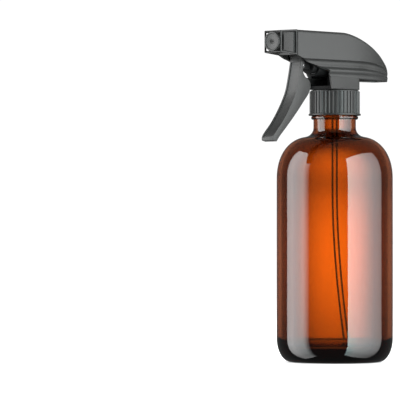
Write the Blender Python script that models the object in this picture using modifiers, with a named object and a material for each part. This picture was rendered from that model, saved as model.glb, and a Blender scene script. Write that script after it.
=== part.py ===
"""Trigger spray bottle: an amber glass round bottle with a screw-on trigger sprayer.

Frame: +Z up, the nozzle points along -Y, and the origin is the middle of the bottle's base.
Sizes are in millimetres. Every builder below turns them into metres as it makes its mesh.
Heights of the sprayer's parts are counted from the collar's top, and forward distances from
the bottle's axis, so a place in the head is (sideways, forward, up).
"""
import math

import bmesh
import bpy
from mathutils import Matrix, Vector

MM = 0.001
GAP = 0.3                    # between pieces that touch on the real object

# Glass bottle
BODY_RADIUS = 37.5
WALL_TOP = 118.0             # where the straight wall ends
SHOULDER_RISE = 27.5
SHOULDER_POWER = 2.2
HEEL_WIDTH = 9.0
HEEL_HEIGHT = 15.0
GLASS = 2.9                  # wall
FLOOR = 9.5
NECK_RADIUS = 13.7
NECK_FILLET = 6.0
NECK_RISE = 11.0             # from the shoulder's top to the bead
BEAD_RADIUS = 15.2
BEAD_HEIGHT = 2.3
FINISH_RADIUS = 12.7
FINISH_HEIGHT = 11.1         # from the bead's top to the lip
LIP_ROUND = 0.8
BORE_RADIUS = 10.5
THREAD_DEPTH = 0.9
THREAD_PITCH = 4.2
THREAD_TURNS = 1.25
THREAD_START = 2.6           # below the lip

# Collar, gasket and neck adapter
COLLAR_WALL = 1.6
COLLAR_LID = 2.1
COLLAR_FLANGE = 1.2
RIB_COUNT = 40
RIB_DEPTH = 0.6
RIB_SINK = 0.7               # of the ribs' ring into the wall
FLANGE_PROUD = 0.6           # beyond the ribs
LID_HOLE_RADIUS = 9.3
GASKET_THICKNESS = 1.2
ADAPTER_FLANGE = 1.3
ADAPTER_EDGE = 0.7           # between its flange and the collar's bore
HUB_WALL = 4.3               # round the tube at the hub's top
HUB_TAPER = 2.2
ADAPTER_DROP = 14.6          # hub length below its flange
SKIRT_DROP = 5.6
SKIRT_WALL = 1.0
SKIRT_PLAY = 0.6             # in the bottle's bore
SEAT_DROP = 9.6              # from the flange's top to the ball's seat
SEAT_THICKNESS = 2.0

# Dip tube and inlet ball
TUBE_RADIUS = 2.1
TUBE_WALL = 0.55
TUBE_STRAIGHT = 8.0          # how far below the wall's top it stays straight
TUBE_END_CLEARANCE = 3.5     # above the bottle's floor
TUBE_BOW = 7.6               # how far its foot stands off the axis
TUBE_BOW_ANGLE = 40.0        # direction of the bow, from +X towards +Y
TUBE_BOW_POWER = 1.8
BALL_RADIUS = 2.0
BALL_LIFT = 1.2
BALL_PLAY = 0.6              # round the ball in its chamber

# Sprayer body
RISER_RADIUS = 4.9
RISER_BORE = 1.6
BARREL_HEIGHT = 29.0
BARREL_RADIUS = 4.2
BARREL_BACK = -5.5
BARREL_FRONT = 57.5
VALVE_SEAT_AT = 42.0
VALVE_HEAD = 1.2
VALVE_STEM_RADIUS = 0.9
VALVE_STEM = 2.8
VALVE_PLAY = 0.35
SPINNER_BACK = 49.7
SPINNER_GROOVE = 0.8
SNAP_AT = 49.0               # middle of the bead that holds the cap
SNAP_HEIGHT = 0.6
RING_GROOVE_AT = 53.4
RING_GROOVE_WIDTH = 1.5
RING_GROOVE_DEPTH = 1.0
RING_WIDTH = 0.8
BARREL_BORE_BACK = 0.3
WEB_HALF = 0.9
BARREL_BORE = 2.6
PUMP_BORE = 5.5
PUMP_WALL = 1.1
PUMP_LIFT = 0.4              # above the skirt's top
PUMP_ROOM = 0.38             # to the inside of the shroud's groove
PUMP_PORT = 1.0
PUMP_BACK = 3.0
PUMP_FRONT = 22.5
PUMP_FLOOR = 5.5
TRUNNION_RADIUS = 1.5

# Trigger and its link to the piston
PIVOT_FORWARD = 34.0
TRIGGER_ARM = 14.0
TRIGGER_REST = math.radians(9.0)
TRIGGER_PULL = math.radians(18.0)
TRIGGER_HALF = 4.8
TRIGGER_WEB = 1.4
FINGER_WALL = 1.7
FINGER_SUNK = 0.6
FINGER_RIM = 1.0
EAR_THICKNESS = 1.6
EAR_RIM = 1.3                # round the pivot hole
EAR_BAR_DROP = 0.9           # below the barrel
LINK_RADIUS = 1.3
LUG_RIM = 0.9
LUG_INNER = 2.4
LUG_OUTER = 3.7

# Piston
PISTON_PLAY = 0.8            # in the pump's bore
PISTON_FLANGE = 1.6
PISTON_END = 3.4             # solid length in front of its hollow
GROOVE_BITE = 0.6            # of the seals into the piston
ROD_HALF = 2.0
FORK_WALL = 1.0
PISTON_BACK = 11.0
PISTON_FRONT = 27.0
SEAL_WIDTH = 1.4
SPRING_RADIUS = 2.5
SPRING_WIRE = 0.3

# Nozzle
CAP_BACK = 46.0
CAP_FRONT = 61.0
CAP_HALF_BACK = 8.1
CAP_HALF_FRONT = 7.0
INSERT_RADIUS = 6.15
INSERT_PROUD = 1.0
ORIFICE_RADIUS = 0.4
INSERT_POCKET = 1.8          # depth of the cap's recess for the insert
INSERT_PLAY = 0.35
PANEL_RIM = 1.7
PANEL_SUNK = 0.6

# Shroud
SHROUD_WALL = 1.3
SHROUD_TOP = 37.0
SHROUD_BOTTOM = 6.9
SHROUD_BACK = -48.0
GROOVE_TOP = 19.0
GROOVE_DEPTH = 1.8
BLOCK_HALF = 11.5
BLOCK_BACK = -13.0
BLOCK_FRONT_LOW = 15.4
BLOCK_FRONT_HIGH = 17.6
BLOCK_TOP = 8.0
BLOCK_CORNER = 3.0
SADDLE_THICKNESS = 1.3       # of the body's tongue that closes the shroud from below

# Heights that follow from the sizes above
SHOULDER_TOP = WALL_TOP + SHOULDER_RISE
BEAD_BOTTOM = SHOULDER_TOP + NECK_RISE
BEAD_TOP = BEAD_BOTTOM + BEAD_HEIGHT
LIP = BEAD_TOP + FINISH_HEIGHT
GASKET_BOTTOM = LIP + GAP
FLANGE_BOTTOM = GASKET_BOTTOM + GASKET_THICKNESS + GAP
FLANGE_TOP = FLANGE_BOTTOM + ADAPTER_FLANGE
COLLAR_TOP = FLANGE_TOP + GAP + COLLAR_LID
COLLAR_BOTTOM = BEAD_TOP + GAP
COLLAR_BORE = FINISH_RADIUS + THREAD_DEPTH + 0.5
COLLAR_RADIUS = COLLAR_BORE + COLLAR_WALL
SEAT_TOP = FLANGE_TOP - SEAT_DROP
SEAT_BOTTOM = SEAT_TOP - SEAT_THICKNESS
TUBE_TOP = SEAT_BOTTOM - GAP
RISER_BOTTOM = SEAT_TOP + GAP
TUBE_SOCKET_RADIUS = TUBE_RADIUS + GAP + 0.05
ADAPTER_HUB_RADIUS = TUBE_RADIUS + HUB_WALL
TUBE_BEND = WALL_TOP - TUBE_STRAIGHT
TUBE_FOOT = FLOOR + TUBE_END_CLEARANCE
PUMP_RADIUS = PUMP_BORE + PUMP_WALL
PUMP_HEIGHT = BLOCK_TOP + PUMP_LIFT + PUMP_RADIUS
PISTON_RADIUS = PUMP_BORE - PISTON_PLAY
PIVOT = (PIVOT_FORWARD, BARREL_HEIGHT)
LINK = (
    PIVOT_FORWARD + TRIGGER_ARM * math.sin(TRIGGER_REST),
    BARREL_HEIGHT - TRIGGER_ARM * math.cos(TRIGGER_REST),
)
SEAL_OUTER = PUMP_BORE - GAP - 0.05
SEAL_INNER = PISTON_RADIUS - GROOVE_BITE
GLAND_RADIUS = SEAL_INNER - GAP
CAP_BORE = BARREL_RADIUS + 0.5
EAR_INNER = BARREL_RADIUS + GAP
EAR_OUTER = EAR_INNER + EAR_THICKNESS
BAR_TOP = BARREL_HEIGHT - BARREL_RADIUS - EAR_BAR_DROP
TRIGGER_TOP = BAR_TOP - GAP
SADDLE_BOTTOM = SHROUD_BOTTOM + 0.7

# The shroud narrows from SHROUD_WIDEST to the cap, and is wide enough for the pump's front end
SHROUD_WIDEST = -5.0
PUMP_SHARE = (PUMP_FRONT - SHROUD_WIDEST) / (CAP_BACK - SHROUD_WIDEST)
BESIDE_PUMP = PUMP_RADIUS + PUMP_ROOM + SHROUD_WALL + GROOVE_DEPTH
SHROUD_HALF = (BESIDE_PUMP - CAP_HALF_BACK * PUMP_SHARE) / (1 - PUMP_SHARE)


# ---------------------------------------------------------------- scene helpers

def empty_scene():
    for thing in list(bpy.data.objects):
        bpy.data.objects.remove(thing, do_unlink=True)


def collection(name):
    made = bpy.data.collections.new(name)
    bpy.context.scene.collection.children.link(made)
    return made


def add_mesh(name, bm, where):
    """Turns a bmesh in millimetres into an object in metres."""
    bmesh.ops.scale(bm, vec=(MM, MM, MM), verts=bm.verts)
    mesh = bpy.data.meshes.new(name)
    bm.to_mesh(mesh)
    bm.free()
    made = bpy.data.objects.new(name, mesh)
    where.objects.link(made)
    if where is TOOLS:
        made.hide_render = True
        made.display_type = "WIRE"
    return made


def in_head(sideways, forward, up):
    """A place in the head, as world millimetres."""
    return Vector((sideways, -forward, COLLAR_TOP + up))


def set_origin(piece, point):
    """Moves a piece's origin to a world point in millimetres; its shape stays put."""
    point = Vector(point) * MM
    piece.data.transform(piece.matrix_basis)
    piece.data.transform(Matrix.Translation(-point))
    piece.matrix_basis = Matrix.Translation(point)


def finish(piece, colour, roughness, metallic=0.0, angle=35.0):
    mat = bpy.data.materials.new(piece.name)
    mat.use_nodes = True
    shader = mat.node_tree.nodes["Principled BSDF"]
    shader.inputs["Base Color"].default_value = (*colour, 1.0)
    shader.inputs["Roughness"].default_value = roughness
    shader.inputs["Metallic"].default_value = metallic
    piece.data.materials.append(mat)
    if piece.type == "MESH":
        piece.data.shade_smooth()
        piece.data.set_sharp_from_angle(angle=math.radians(angle))


def combine(piece, other, operation):
    mod = piece.modifiers.new(operation.title(), "BOOLEAN")
    mod.object = other
    mod.operation = operation
    mod.solver = "EXACT"


def join(piece, *others):
    for other in others:
        combine(piece, other, "UNION")


def cut(piece, *cutters):
    for cutter in cutters:
        combine(piece, cutter, "DIFFERENCE")


# ---------------------------------------------------------------- shape helpers

def arc(centre, radii, start, end, count):
    """Points of an elliptical arc, its angles in degrees."""
    points = []
    for i in range(count + 1):
        turn = math.radians(start + (end - start) * i / count)
        points.append((centre[0] + radii[0] * math.cos(turn), centre[1] + radii[1] * math.sin(turn)))
    return points


def superellipse(u, power):
    """Height, from 1 to 0, of a superellipse at u from 0 to 1."""
    return (1.0 - min(u, 1.0) ** power) ** (1.0 / power)


def turned(name, where, profile, steps, ring=False, along=None):
    """Turns (radius, height) points about Z, or about the forward axis at a place in the head.

    The profile runs down its outer side. A ring's profile is a closed loop clear of the axis.
    """
    bm = bmesh.new()
    verts = [bm.verts.new((radius, 0.0, height)) for radius, height in profile]
    for a, b in zip(verts, verts[1:]):
        bm.edges.new((a, b))
    if ring:
        bm.edges.new((verts[-1], verts[0]))
    piece = add_mesh(name, bm, where)
    screw = piece.modifiers.new("Turn", "SCREW")
    screw.steps = steps
    screw.render_steps = steps
    screw.use_merge_vertices = True
    screw.merge_threshold = 0.00002
    screw.use_smooth_shade = True
    if along is not None:
        place = Matrix.Translation(in_head(0.0, 0.0, along) * MM)
        piece.matrix_basis = place @ Matrix.Rotation(math.radians(90.0), 4, "X")
    return piece


def rod(name, where, radius, start, end, sides=24):
    """A cylinder between two world points."""
    start, end = Vector(start), Vector(end)
    bm = bmesh.new()
    bmesh.ops.create_cone(
        bm, cap_ends=True, segments=sides, radius1=radius, radius2=radius,
        depth=(end - start).length,
    )
    turn = (end - start).to_track_quat("Z", "Y").to_matrix().to_4x4()
    bmesh.ops.transform(bm, matrix=Matrix.Translation((start + end) / 2) @ turn, verts=bm.verts)
    return add_mesh(name, bm, where)


def box(name, where, low, high):
    """A box in the head, from its lowest to its highest (sideways, forward, up)."""
    bm = bmesh.new()
    bmesh.ops.create_cube(bm, size=1.0)
    middle = [(a + b) / 2 for a, b in zip(low, high)]
    size = [b - a for a, b in zip(low, high)]
    bmesh.ops.scale(bm, vec=size, verts=bm.verts)
    bmesh.ops.translate(bm, vec=in_head(*middle), verts=bm.verts)
    return add_mesh(name, bm, where)


def plate(name, where, outline, left, right):
    """A flat (forward, up) outline in the head, from one sideways place to another."""
    bm = bmesh.new()
    face = bm.faces.new([bm.verts.new(in_head(left, f, u)) for f, u in outline])
    grown = bmesh.ops.extrude_face_region(bm, geom=[face])
    moved = [v for v in grown["geom"] if isinstance(v, bmesh.types.BMVert)]
    bmesh.ops.translate(bm, vec=(right - left, 0.0, 0.0), verts=moved)
    bmesh.ops.recalc_face_normals(bm, faces=bm.faces)
    return add_mesh(name, bm, where)


def slab(name, where, outline, low, thickness):
    """A flat (sideways, forward) outline in the head, thickened upwards."""
    bm = bmesh.new()
    face = bm.faces.new([bm.verts.new(in_head(x, f, low)) for x, f in outline])
    grown = bmesh.ops.extrude_face_region(bm, geom=[face])
    moved = [v for v in grown["geom"] if isinstance(v, bmesh.types.BMVert)]
    bmesh.ops.translate(bm, vec=(0.0, 0.0, thickness), verts=moved)
    bmesh.ops.recalc_face_normals(bm, faces=bm.faces)
    return add_mesh(name, bm, where)


def flow(points, per_span=4):
    """A smooth curve through the given points."""
    ends = [points[0]] + list(points) + [points[-1]]
    made = []
    for p0, p1, p2, p3 in zip(ends, ends[1:], ends[2:], ends[3:]):
        for i in range(per_span):
            t = i / per_span
            made.append(tuple(
                0.5 * (2 * b + (c - a) * t + (2 * a - 5 * b + 4 * c - d) * t ** 2
                       + (3 * b - a - 3 * c + d) * t ** 3)
                for a, b, c, d in zip(p0, p1, p2, p3)
            ))
    return made + [tuple(points[-1])]


def beside(points, distance):
    """The (forward, up) points moved sideways off their own line; positive is backwards."""
    moved = []
    for i, (f, u) in enumerate(points):
        before, after = points[max(i - 1, 0)], points[min(i + 1, len(points) - 1)]
        along = Vector((after[0] - before[0], after[1] - before[1])).normalized()
        moved.append((f + along.y * distance, u - along.x * distance))
    return moved


def coil(name, radius, wire, start, end, turns, along):
    """A spring round the forward axis at a height in the head."""
    per_turn = 10
    count = int(turns * per_turn)
    curve = bpy.data.curves.new(name, "CURVE")
    curve.dimensions = "3D"
    spline = curve.splines.new("POLY")
    spline.points.add(count)
    for i, point in enumerate(spline.points):
        angle = math.tau * i / per_turn
        forward = start + (end - start) * i / count
        place = in_head(radius * math.cos(angle), forward, along + radius * math.sin(angle))
        point.co = (*(place * MM), 1.0)
    curve.bevel_depth = wire * MM
    curve.bevel_resolution = 1
    curve.use_fill_caps = True
    made = bpy.data.objects.new(name, curve)
    PARTS.objects.link(made)
    return made


# ---------------------------------------------------------------- bottle

def shoulder(radius, rise, base, inner, count=8):
    """Points up a shoulder, from the wall towards the neck."""
    points = []
    for i in range(count + 1):
        u = math.sin(math.radians(90.0 * (1 - i / count)))
        points.append((inner + (radius - inner) * u, base + rise * superellipse(u, SHOULDER_POWER)))
    return points


def bottle_profile():
    """From the middle of the floor up the inside, over the lip and down the outside."""
    heel = arc((BODY_RADIUS - HEEL_WIDTH, HEEL_HEIGHT), (HEEL_WIDTH, HEEL_HEIGHT), 0, -90, 5)
    inside = arc(
        (BODY_RADIUS - HEEL_WIDTH, HEEL_HEIGHT + 2.0),
        (HEEL_WIDTH - GLASS, HEEL_HEIGHT + 2.0 - FLOOR), -90, 0, 4,
    )
    dome = shoulder(
        BODY_RADIUS - GLASS, SHOULDER_RISE - GLASS * 0.7, WALL_TOP, BORE_RADIUS + NECK_FILLET, 6)
    inner_neck = arc(
        (BORE_RADIUS + NECK_FILLET + 1.0, dome[-1][1] + NECK_FILLET),
        (NECK_FILLET + 1.0, NECK_FILLET), -100, -180, 3,
    )
    outer_neck = arc(
        (NECK_RADIUS + NECK_FILLET, SHOULDER_TOP + NECK_FILLET - 0.2),
        (NECK_FILLET, NECK_FILLET), -180, -105, 3,
    )
    lip = arc((FINISH_RADIUS - LIP_ROUND, LIP - LIP_ROUND), (LIP_ROUND, LIP_ROUND), 90, 0, 2)
    bead = arc(
        (BEAD_RADIUS - 0.9, (BEAD_TOP + BEAD_BOTTOM) / 2), (0.9, BEAD_HEIGHT / 2), 75, -75, 2)
    outer = shoulder(BODY_RADIUS, SHOULDER_RISE, WALL_TOP, NECK_RADIUS + 1.8)
    outer = [p for p in reversed(outer) if p[0] > outer_neck[-1][0] + 0.6]
    return (
        [(0.0, FLOOR)] + inside + dome[:-1] + inner_neck
        + [(BORE_RADIUS, LIP - 0.4), (BORE_RADIUS + 0.4, LIP)] + lip
        + [(FINISH_RADIUS, BEAD_TOP)] + bead + [(NECK_RADIUS, BEAD_BOTTOM)]
        + outer_neck + outer + heel + [(0.0, 0.0)]
    )


def thread_ridge():
    """The finish's thread: a round right-handed ridge, wound half into the glass."""
    curve = bpy.data.curves.new("thread", "CURVE")
    curve.dimensions = "3D"
    spline = curve.splines.new("POLY")
    count = int(18 * THREAD_TURNS)
    spline.points.add(count)
    for i, point in enumerate(spline.points):
        angle = -math.tau * THREAD_TURNS * i / count
        height = LIP - THREAD_START - THREAD_PITCH * THREAD_TURNS * i / count
        sunk = 0.9 if i in (0, count) else 0.0
        radius = FINISH_RADIUS - 0.1 - sunk
        point.co = (radius * math.cos(angle) * MM, radius * math.sin(angle) * MM, height * MM, 1.0)
    curve.bevel_depth = THREAD_DEPTH * MM
    curve.bevel_resolution = 1
    curve.use_fill_caps = True
    guide = bpy.data.objects.new("thread_curve", curve)
    TOOLS.objects.link(guide)
    bpy.context.view_layer.update()
    shape = guide.evaluated_get(bpy.context.evaluated_depsgraph_get())
    bm = bmesh.new()
    bm.from_mesh(bpy.data.meshes.new_from_object(shape))
    bmesh.ops.remove_doubles(bm, verts=bm.verts, dist=0.00001)
    bmesh.ops.scale(bm, vec=(1 / MM, 1 / MM, 1 / MM), verts=bm.verts)
    bpy.data.objects.remove(guide, do_unlink=True)
    return add_mesh("thread_ridge", bm, TOOLS)


def bottle():
    piece = turned("bottle", PARTS, bottle_profile(), 36)
    join(piece, thread_ridge())
    finish(piece, (0.42, 0.10, 0.02), 0.05)


def dip_tube():
    """A hollow tube, straight in the neck, that bows towards the heel of the bottle."""
    turn = math.radians(TUBE_BOW_ANGLE)
    heights = [TUBE_TOP] + [TUBE_BEND + (TUBE_FOOT - TUBE_BEND) * i / 8 for i in range(9)]
    curve = bpy.data.curves.new("dip_tube", "CURVE")
    curve.dimensions = "3D"
    spline = curve.splines.new("POLY")
    spline.points.add(len(heights) - 1)
    for point, height in zip(spline.points, heights):
        below = max(0.0, (TUBE_BEND - height) / (TUBE_BEND - TUBE_FOOT))
        off = TUBE_BOW * below ** TUBE_BOW_POWER
        point.co = (off * math.cos(turn) * MM, off * math.sin(turn) * MM, height * MM, 1.0)
    curve.bevel_depth = TUBE_RADIUS * MM
    curve.bevel_resolution = 3
    made = bpy.data.objects.new("dip_tube", curve)
    PARTS.objects.link(made)
    shell = made.modifiers.new("Wall", "SOLIDIFY")
    shell.thickness = TUBE_WALL * MM
    shell.offset = -1.0
    finish(made, (0.75, 0.75, 0.72), 0.3)


# ---------------------------------------------------------------- neck parts

def ribbed_sleeve():
    """The collar's vertical ribs, as one toothed ring sunk into its wall."""
    bottom, top = COLLAR_BOTTOM + COLLAR_FLANGE - 0.2, COLLAR_TOP - 0.9
    outer = COLLAR_RADIUS + RIB_DEPTH
    bm = bmesh.new()
    outside, inside = [], []
    for i in range(RIB_COUNT * 4):
        angle = math.tau * (i + 0.5) / (RIB_COUNT * 4)
        radius = outer if i % 4 in (0, 1) else COLLAR_RADIUS + 0.05
        outside.append(bm.verts.new((radius * math.cos(angle), radius * math.sin(angle), bottom)))
    for i in range(RIB_COUNT):
        angle = math.tau * (i + 0.25) / RIB_COUNT
        radius = COLLAR_RADIUS - RIB_SINK
        inside.append(bm.verts.new((radius * math.cos(angle), radius * math.sin(angle), bottom)))
    edges = []
    for loop in (outside, inside):
        edges += [bm.edges.new((a, b)) for a, b in zip(loop, loop[1:] + loop[:1])]
    bmesh.ops.triangle_fill(bm, use_beauty=True, edges=edges)
    grown = bmesh.ops.extrude_face_region(bm, geom=list(bm.faces))
    moved = [v for v in grown["geom"] if isinstance(v, bmesh.types.BMVert)]
    bmesh.ops.translate(bm, vec=(0.0, 0.0, top - bottom), verts=moved)
    bmesh.ops.recalc_face_normals(bm, faces=bm.faces)
    return add_mesh("collar_ribs", bm, TOOLS)


def screw_collar():
    flange = COLLAR_RADIUS + RIB_DEPTH + FLANGE_PROUD
    profile = [
        (LID_HOLE_RADIUS, COLLAR_TOP),
        (COLLAR_RADIUS - 0.8, COLLAR_TOP),
        (COLLAR_RADIUS, COLLAR_TOP - 0.6),
        (COLLAR_RADIUS, COLLAR_BOTTOM + COLLAR_FLANGE),
        (flange, COLLAR_BOTTOM + COLLAR_FLANGE - 0.3),
        (flange, COLLAR_BOTTOM),
        (COLLAR_BORE, COLLAR_BOTTOM),
        (COLLAR_BORE, COLLAR_TOP - COLLAR_LID),
        (LID_HOLE_RADIUS, COLLAR_TOP - COLLAR_LID),
    ]
    piece = turned("screw_collar", PARTS, profile, 40, ring=True)
    join(piece, ribbed_sleeve())
    finish(piece, (0.03, 0.03, 0.03), 0.4)


def bottle_gasket():
    inner, outer = BORE_RADIUS - 0.2, COLLAR_BORE - 0.8
    profile = [
        (inner, GASKET_BOTTOM + GASKET_THICKNESS), (outer, GASKET_BOTTOM + GASKET_THICKNESS),
        (outer, GASKET_BOTTOM), (inner, GASKET_BOTTOM),
    ]
    piece = turned("bottle_gasket", PARTS, profile, 32, ring=True)
    finish(piece, (0.75, 0.75, 0.73), 0.7)


def neck_adapter():
    """The insert that the collar clamps: flange, plug skirt, and a hub that holds the dip tube."""
    skirt = BORE_RADIUS - SKIRT_PLAY
    hub_bottom = FLANGE_BOTTOM - ADAPTER_DROP
    edge = COLLAR_BORE - ADAPTER_EDGE
    profile = [
        (RISER_RADIUS + GAP, FLANGE_TOP),
        (edge, FLANGE_TOP),
        (edge, FLANGE_BOTTOM),
        (skirt, FLANGE_BOTTOM),
        (skirt, FLANGE_BOTTOM - SKIRT_DROP),
        (skirt - SKIRT_WALL, FLANGE_BOTTOM - SKIRT_DROP),
        (skirt - SKIRT_WALL, FLANGE_BOTTOM),
        (ADAPTER_HUB_RADIUS, FLANGE_BOTTOM),
        (ADAPTER_HUB_RADIUS, SEAT_BOTTOM),
        (ADAPTER_HUB_RADIUS - HUB_TAPER, hub_bottom),
        (TUBE_SOCKET_RADIUS, hub_bottom),
        (TUBE_SOCKET_RADIUS, SEAT_BOTTOM),
        (RISER_BORE - 0.1, SEAT_BOTTOM),
        (RISER_BORE - 0.1, SEAT_TOP),
        (RISER_RADIUS + GAP, SEAT_TOP),
    ]
    piece = turned("neck_adapter", PARTS, profile, 28, ring=True)
    finish(piece, (0.8, 0.8, 0.78), 0.4)


def ball_centre():
    seat = RISER_BORE - 0.1
    return SEAT_TOP + math.sqrt(BALL_RADIUS ** 2 - seat ** 2) + GAP + 0.05


def inlet_ball():
    bm = bmesh.new()
    bmesh.ops.create_uvsphere(bm, u_segments=16, v_segments=10, radius=BALL_RADIUS)
    piece = add_mesh("inlet_ball", bm, PARTS)
    piece.location = (0.0, 0.0, ball_centre() * MM)
    finish(piece, (0.8, 0.8, 0.82), 0.15, 1.0)


# ---------------------------------------------------------------- sprayer body

def sprayer_body():
    """Riser, pump cylinder and discharge barrel, moulded as one, with all their bores."""
    top = COLLAR_TOP + BARREL_HEIGHT
    foot = FLANGE_TOP + GAP
    neck = LID_HOLE_RADIUS - GAP
    plate_bottom = COLLAR_TOP + GAP
    profile = [
        (0.0, top), (RISER_RADIUS, top), (RISER_RADIUS, plate_bottom + 1.0),
        (neck, plate_bottom + 1.0), (neck, foot), (RISER_RADIUS, foot),
        (RISER_RADIUS, RISER_BOTTOM), (0.0, RISER_BOTTOM),
    ]
    piece = turned("sprayer_body", PARTS, profile, 24)
    reach = EAR_OUTER + GAP
    inset = SHROUD_WALL + GAP + 0.5        # clears the block's round inside corners
    base = box(
        "body_base", TOOLS,
        (inset - BLOCK_HALF, BLOCK_BACK + inset, GAP),
        (BLOCK_HALF - inset, BLOCK_FRONT_LOW - inset, GAP + 2.2),
    )
    pump = rod(
        "pump_outside", TOOLS, PUMP_RADIUS,
        in_head(0, PUMP_BACK, PUMP_HEIGHT), in_head(0, PUMP_FRONT, PUMP_HEIGHT), 28)
    barrel = turned("barrel_outside", TOOLS, barrel_profile(), 24, along=BARREL_HEIGHT)
    trunnions = rod(
        "trunnions", TOOLS, TRUNNION_RADIUS,
        in_head(-reach, *PIVOT), in_head(reach, *PIVOT), 16)
    saddle = slab("body_saddle", TOOLS, saddle_outline(), SADDLE_BOTTOM, SADDLE_THICKNESS)
    web = box("barrel_web", TOOLS, (-WEB_HALF, -3.0, PUMP_HEIGHT), (WEB_HALF, 19.0, BARREL_HEIGHT - 1.0))
    join(piece, base, pump, barrel, trunnions, web, saddle)
    cut(piece, *body_bores(top))
    finish(piece, (0.03, 0.03, 0.03), 0.45)


def saddle_outline():
    """Plan of the tongue that runs back from the riser and closes the shroud from below."""
    side = []
    for i in range(7):
        forward = SHROUD_BACK + 7.5 + 4.5 * i
        lip = shroud_section(forward)[-2][0] - SHROUD_WALL - 3 * GAP
        side.append((min(lip, BLOCK_HALF - SHROUD_WALL - 1.0), forward))
    side += [(RISER_RADIUS - 1.5, -8.0), (RISER_RADIUS - 1.5, 0.0)]
    return side + [(-x, forward) for x, forward in reversed(side)]


def barrel_profile():
    """The barrel's outside: a snap bead for the cap and a gland for its seal ring."""
    gland = BARREL_RADIUS - RING_GROOVE_DEPTH
    ring_front = RING_GROOVE_AT + RING_GROOVE_WIDTH
    crest = BARREL_RADIUS + SNAP_HEIGHT
    return [
        (0.0, BARREL_FRONT), (BARREL_RADIUS, BARREL_FRONT), (BARREL_RADIUS, ring_front),
        (gland, ring_front), (gland, RING_GROOVE_AT), (BARREL_RADIUS, RING_GROOVE_AT),
        (BARREL_RADIUS, SNAP_AT + 0.5), (crest, SNAP_AT + 0.2), (crest, SNAP_AT - 0.2),
        (BARREL_RADIUS, SNAP_AT - 0.5), (BARREL_RADIUS, BARREL_BACK), (0.0, BARREL_BACK),
    ]


def body_bores(top):
    chamber = BALL_RADIUS + BALL_PLAY
    chamber_top = ball_centre() + BALL_RADIUS + BALL_LIFT + 0.4
    riser = turned("riser_bore", TOOLS, [
        (0.0, top - 0.2), (RISER_BORE, top - 0.2), (RISER_BORE, chamber_top + 0.8),
        (chamber, chamber_top), (chamber, RISER_BOTTOM - 1.0), (0.0, RISER_BOTTOM - 1.0),
    ], 16)
    barrel = turned("barrel_bore", TOOLS, [
        (0.0, BARREL_FRONT + 1.0), (BARREL_BORE, BARREL_FRONT + 1.0),
        (BARREL_BORE, VALVE_SEAT_AT), (RISER_BORE - 0.1, VALVE_SEAT_AT),
        (RISER_BORE - 0.1, BARREL_BORE_BACK), (0.0, BARREL_BORE_BACK),
    ], 16, along=BARREL_HEIGHT)
    pump = turned("pump_bore", TOOLS, [
        (0.0, PUMP_FRONT + 1.0), (PUMP_BORE, PUMP_FRONT + 1.0), (PUMP_BORE, PUMP_FLOOR),
        (PUMP_PORT, PUMP_FLOOR), (PUMP_PORT, 0.4), (0.0, 0.4),
    ], 28, along=PUMP_HEIGHT)
    return riser, barrel, pump


# ---------------------------------------------------------------- pump

def piston():
    rear, front = PISTON_BACK + 1.0, PUMP_FRONT - 3.0
    groove = SEAL_WIDTH + 2 * GAP
    hollow = SPRING_RADIUS + SPRING_WIRE + GAP + 0.05
    flange = PUMP_BORE - GAP
    profile = [
        (0.0, PISTON_FRONT), (flange, PISTON_FRONT), (flange, PISTON_FRONT - PISTON_FLANGE),
        (PISTON_RADIUS, PISTON_FRONT - PISTON_FLANGE),
        (PISTON_RADIUS, front + groove), (GLAND_RADIUS, front + groove),
        (GLAND_RADIUS, front), (PISTON_RADIUS, front),
        (PISTON_RADIUS, rear + groove), (GLAND_RADIUS, rear + groove),
        (GLAND_RADIUS, rear), (PISTON_RADIUS, rear),
        (PISTON_RADIUS, PISTON_BACK), (hollow, PISTON_BACK),
        (hollow, PISTON_FRONT - PISTON_END), (0.0, PISTON_FRONT - PISTON_END),
    ]
    piece = turned("piston", PARTS, profile, 24, along=PUMP_HEIGHT)
    fork = LINK_RADIUS + GAP + 0.05
    rod_body = box(
        "piston_rod", TOOLS, (-ROD_HALF, PISTON_FRONT - 1.0, LINK[1] - fork - FORK_WALL),
        (ROD_HALF, LINK[0] + 0.3, LINK[1] + fork + FORK_WALL))
    slot = box(
        "piston_fork", TOOLS, (-ROD_HALF - 1.0, LINK[0] - fork, LINK[1] - fork),
        (ROD_HALF + 1.0, LINK[0] + 2.0, LINK[1] + fork))
    join(piece, rod_body)
    cut(piece, slot)
    finish(piece, (0.75, 0.75, 0.73), 0.35)
    for name, start in (("piston_seal_rear", rear), ("piston_seal_front", front)):
        seal_ring(name, SEAL_INNER, SEAL_OUTER, start + GAP, SEAL_WIDTH, PUMP_HEIGHT)


def seal_ring(name, inner, outer, start, width, along):
    """A soft ring of a rounded square section, round the forward axis."""
    middle, reach = start + width / 2, width * 0.25
    profile = [
        (inner, start + width), (outer - 0.3, start + width), (outer, middle + reach),
        (outer, middle - reach), (outer - 0.3, start), (inner, start),
    ]
    piece = turned(name, PARTS, profile, 20, ring=True, along=along)
    finish(piece, (0.02, 0.02, 0.02), 0.6)


def return_spring():
    piece = coil(
        "return_spring", SPRING_RADIUS, SPRING_WIRE,
        PUMP_FLOOR + SPRING_WIRE + GAP, PISTON_FRONT - PISTON_END - SPRING_WIRE - GAP, 6, PUMP_HEIGHT)
    finish(piece, (0.6, 0.6, 0.62), 0.25, 1.0)


# ---------------------------------------------------------------- trigger

def trigger_front():
    """The trigger's finger face, from its top to its tip, as (forward, up) points."""
    return flow([
        (37.6, TRIGGER_TOP), (38.3, 18.8), (40.7, 7.8), (43.8, -2.6), (49.5, -12.3),
        (57.0, -22.0), (63.6, -28.6), (65.9, -31.6), (65.8, -33.8),
    ], 3)


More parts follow.
